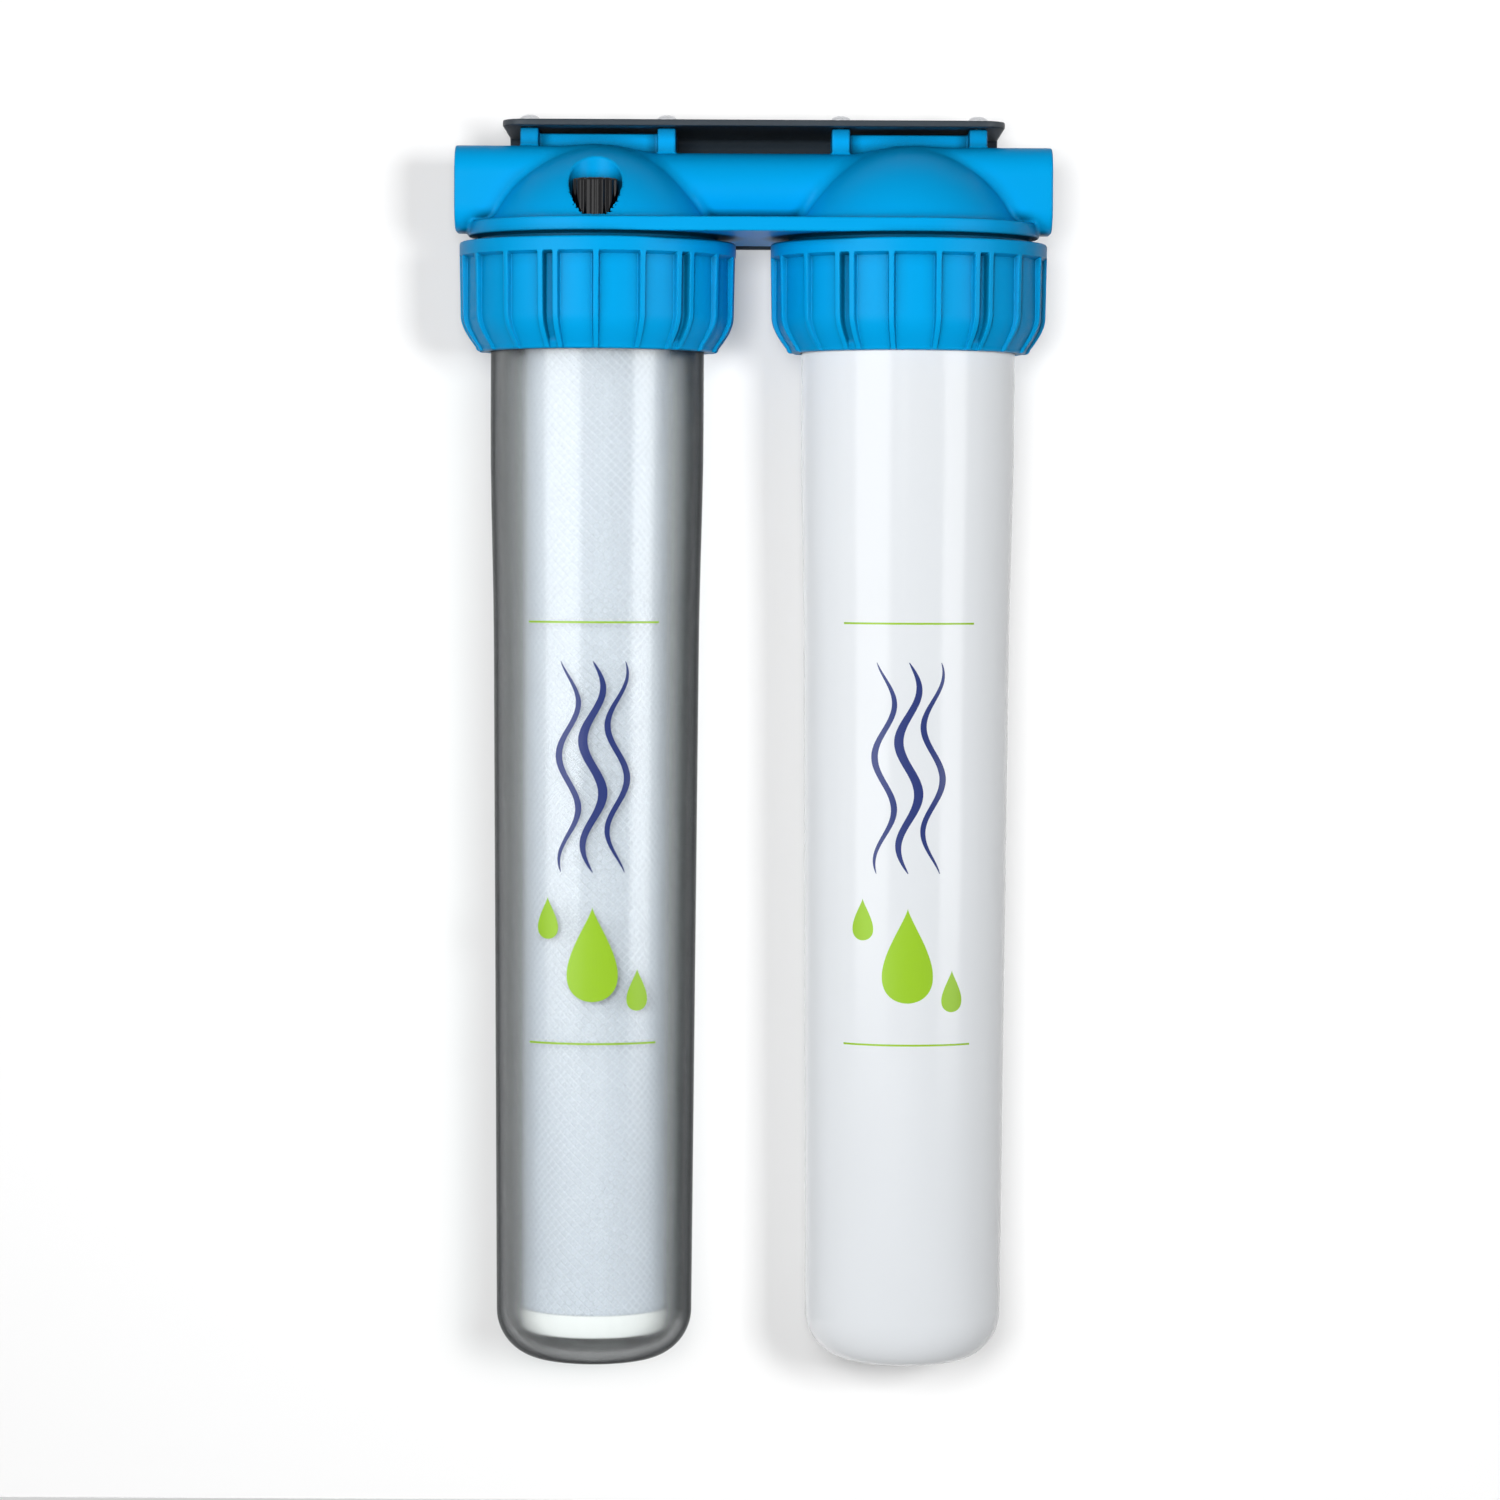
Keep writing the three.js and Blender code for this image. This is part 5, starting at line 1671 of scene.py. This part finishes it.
class SOFTENER_OT_studio(bpy.types.Operator):
    """Sets up the wall, the floor, the lights, the world and the camera"""
    bl_idname = "softener.studio"
    bl_label = "Studio"

    def execute(self, context):
        stage = context.scene.softener_stage
        floor_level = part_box("left_bowl")[0].z - BOWL_DROP - stage.floor_gap
        reach = ROOM_REACH
        wall = self.panel("studio_wall", [
            (-reach, WALL_OFFSET, floor_level), (reach, WALL_OFFSET, floor_level),
            (reach, WALL_OFFSET, reach), (-reach, WALL_OFFSET, reach),
        ], self.paint("wall_paint", *WALL_PAINT))
        floor = self.panel("studio_floor", [
            (-reach, -reach, floor_level), (reach, -reach, floor_level),
            (reach, reach, floor_level), (-reach, reach, floor_level),
        ], self.paint("floor_paint", *FLOOR_PAINT))
        self.lights(stage, wall)
        self.world(context.scene, stage)
        self.camera(context.scene, stage)
        context.scene.view_settings.view_transform = "Standard"
        return {"FINISHED"}

    def panel(self, name, corners, material):
        mesh = bpy.data.meshes.new(name)
        mesh.from_pydata(corners, [], [(0, 1, 2, 3)])
        return add_piece(name, mesh, material)

    def paint(self, name, seen_tint, bounce_tint, glow):
        """Single-sided white paint that lets lamps shine through and throws little light back."""
        material, tree, shader = new_material(name)
        seen, path = seen_rays(tree)
        tint = place_node(tree, "ShaderNodeMix", {
            0: seen, 6: opaque((bounce_tint,) * 3), 7: opaque((seen_tint,) * 3),
        }, data_type="RGBA")
        feed(shader, {
            "Base Color": tint.outputs[2], "Roughness": 1.0, "Specular IOR Level": 0.0,
            "Emission Color": opaque(WHITE), "Emission Strength": calculate(tree, "MULTIPLY", seen, glow),
        })
        behind = tree.nodes.new("ShaderNodeNewGeometry").outputs["Backfacing"]
        hidden = calculate(tree, "MAXIMUM", behind, path["Is Shadow Ray"])
        mix_surface(tree, hidden, shader, tree.nodes.new("ShaderNodeBsdfTransparent"))
        return material

    def lights(self, stage, wall):
        """Softboxes for the bright bands, a frontal key, and lamps for the back and the wall's shadow."""
        for name, (azimuth, width, setting) in SOFTBOXES.items():
            size = (width, SOFTBOX_HEIGHT)
            softbox = self.area(name, azimuth, SOFTBOX_DISTANCE, size, getattr(stage, setting))
            softbox.visible_diffuse = False
        lamps = {}
        for name, (azimuth, size, setting) in LAMPS.items():
            glow = self.glow_for(getattr(stage, setting), LAMP_DISTANCE, size)
            lamps[name] = self.area(name, azimuth, LAMP_DISTANCE, (size, size), glow)
            lamps[name].visible_glossy = False
            lamps[name].visible_transmission = False
        wall_only = bpy.data.collections.new("wall_only")
        wall_only.objects.link(wall)
        lamps["wall_key"].light_linking.receiver_collection = wall_only

    def glow_for(self, level, distance, size):
        """Brightness of a square lamp that lights a facing wall to a share of white."""
        return level * math.pi * distance ** 2 / size ** 2

    def area(self, name, azimuth, distance, size, glow):
        lamp = bpy.data.lights.new(name, "AREA")
        lamp.shape = "RECTANGLE"
        lamp.size, lamp.size_y = size
        lamp.energy = glow * math.pi * size[0] * size[1]
        light = bpy.data.objects.new(name, lamp)
        turn = math.radians(azimuth)
        target = Vector((0, AXIS_Y, LAMP_HEIGHT))
        light.location = target + distance * Vector((math.sin(turn), -math.cos(turn), 0))
        light.rotation_euler = (target - light.location).to_track_quat("-Z", "Y").to_euler()
        bpy.context.scene.collection.objects.link(light)
        return light

    def world(self, scene, stage):
        world = bpy.data.worlds.new("studio")
        world.use_nodes = True
        scene.world = world
        tree = world.node_tree
        shown = calculate(tree, "MULTIPLY", seen_rays(tree)[0], 1.0 - stage.ambient)
        strength = calculate(tree, "ADD", shown, stage.ambient)
        feed(tree.nodes["Background"], {"Color": opaque(WHITE), "Strength": strength})

    def camera(self, scene, stage):
        data = bpy.data.cameras.new("photo_camera")
        data.sensor_width = 36
        data.lens = stage.focal_length
        camera = bpy.data.objects.new("photo_camera", data)
        camera.location = (CAMERA_SHIFT, -stage.camera_distance, stage.camera_height)
        camera.rotation_euler = (math.pi / 2 - stage.camera_pitch, 0, 0)
        camera.rotation_euler.rotate_axis("Z", stage.camera_roll)
        scene.collection.objects.link(camera)
        scene.camera = camera


OPERATORS = (
    SOFTENER_OT_studio, SOFTENER_OT_head, SOFTENER_OT_ring_nuts, SOFTENER_OT_bowls, SOFTENER_OT_seals,
    SOFTENER_OT_end_caps, SOFTENER_OT_taste_cartridge, SOFTENER_OT_softener_cartridge,
    SOFTENER_OT_port_inserts, SOFTENER_OT_vent_knob, SOFTENER_OT_bracket, SOFTENER_OT_bracket_screws,
    SOFTENER_OT_labels,
)


class SOFTENER_PT_panel(bpy.types.Panel):
    """Lists the softener's pieces and their sizes"""
    bl_idname = "SOFTENER_PT_panel"
    bl_label = "Water Softener"
    bl_space_type = "VIEW_3D"
    bl_region_type = "UI"
    bl_category = "Softener"

    def draw(self, context):
        for operator in OPERATORS:
            self.layout.operator(operator.bl_idname)
        for name, group in SETTINGS.items():
            box = self.layout.box()
            box.label(text=group.__name__)
            for key in group.__annotations__:
                box.prop(getattr(context.scene, name), key)


def register():
    for group in SETTINGS.values():
        bpy.utils.register_class(group)
    for name, group in SETTINGS.items():
        setattr(bpy.types.Scene, name, PointerProperty(type=group))
    for item in (*OPERATORS, SOFTENER_PT_panel):
        bpy.utils.register_class(item)


def unregister():
    for item in (SOFTENER_PT_panel, *OPERATORS):
        bpy.utils.unregister_class(item)
    for name, group in SETTINGS.items():
        delattr(bpy.types.Scene, name)
        bpy.utils.unregister_class(group)


def main():
    register()
    for operator in OPERATORS:
        family, name = operator.bl_idname.split(".")
        getattr(getattr(bpy.ops, family), name)()


if __name__ == "__main__":
    main()
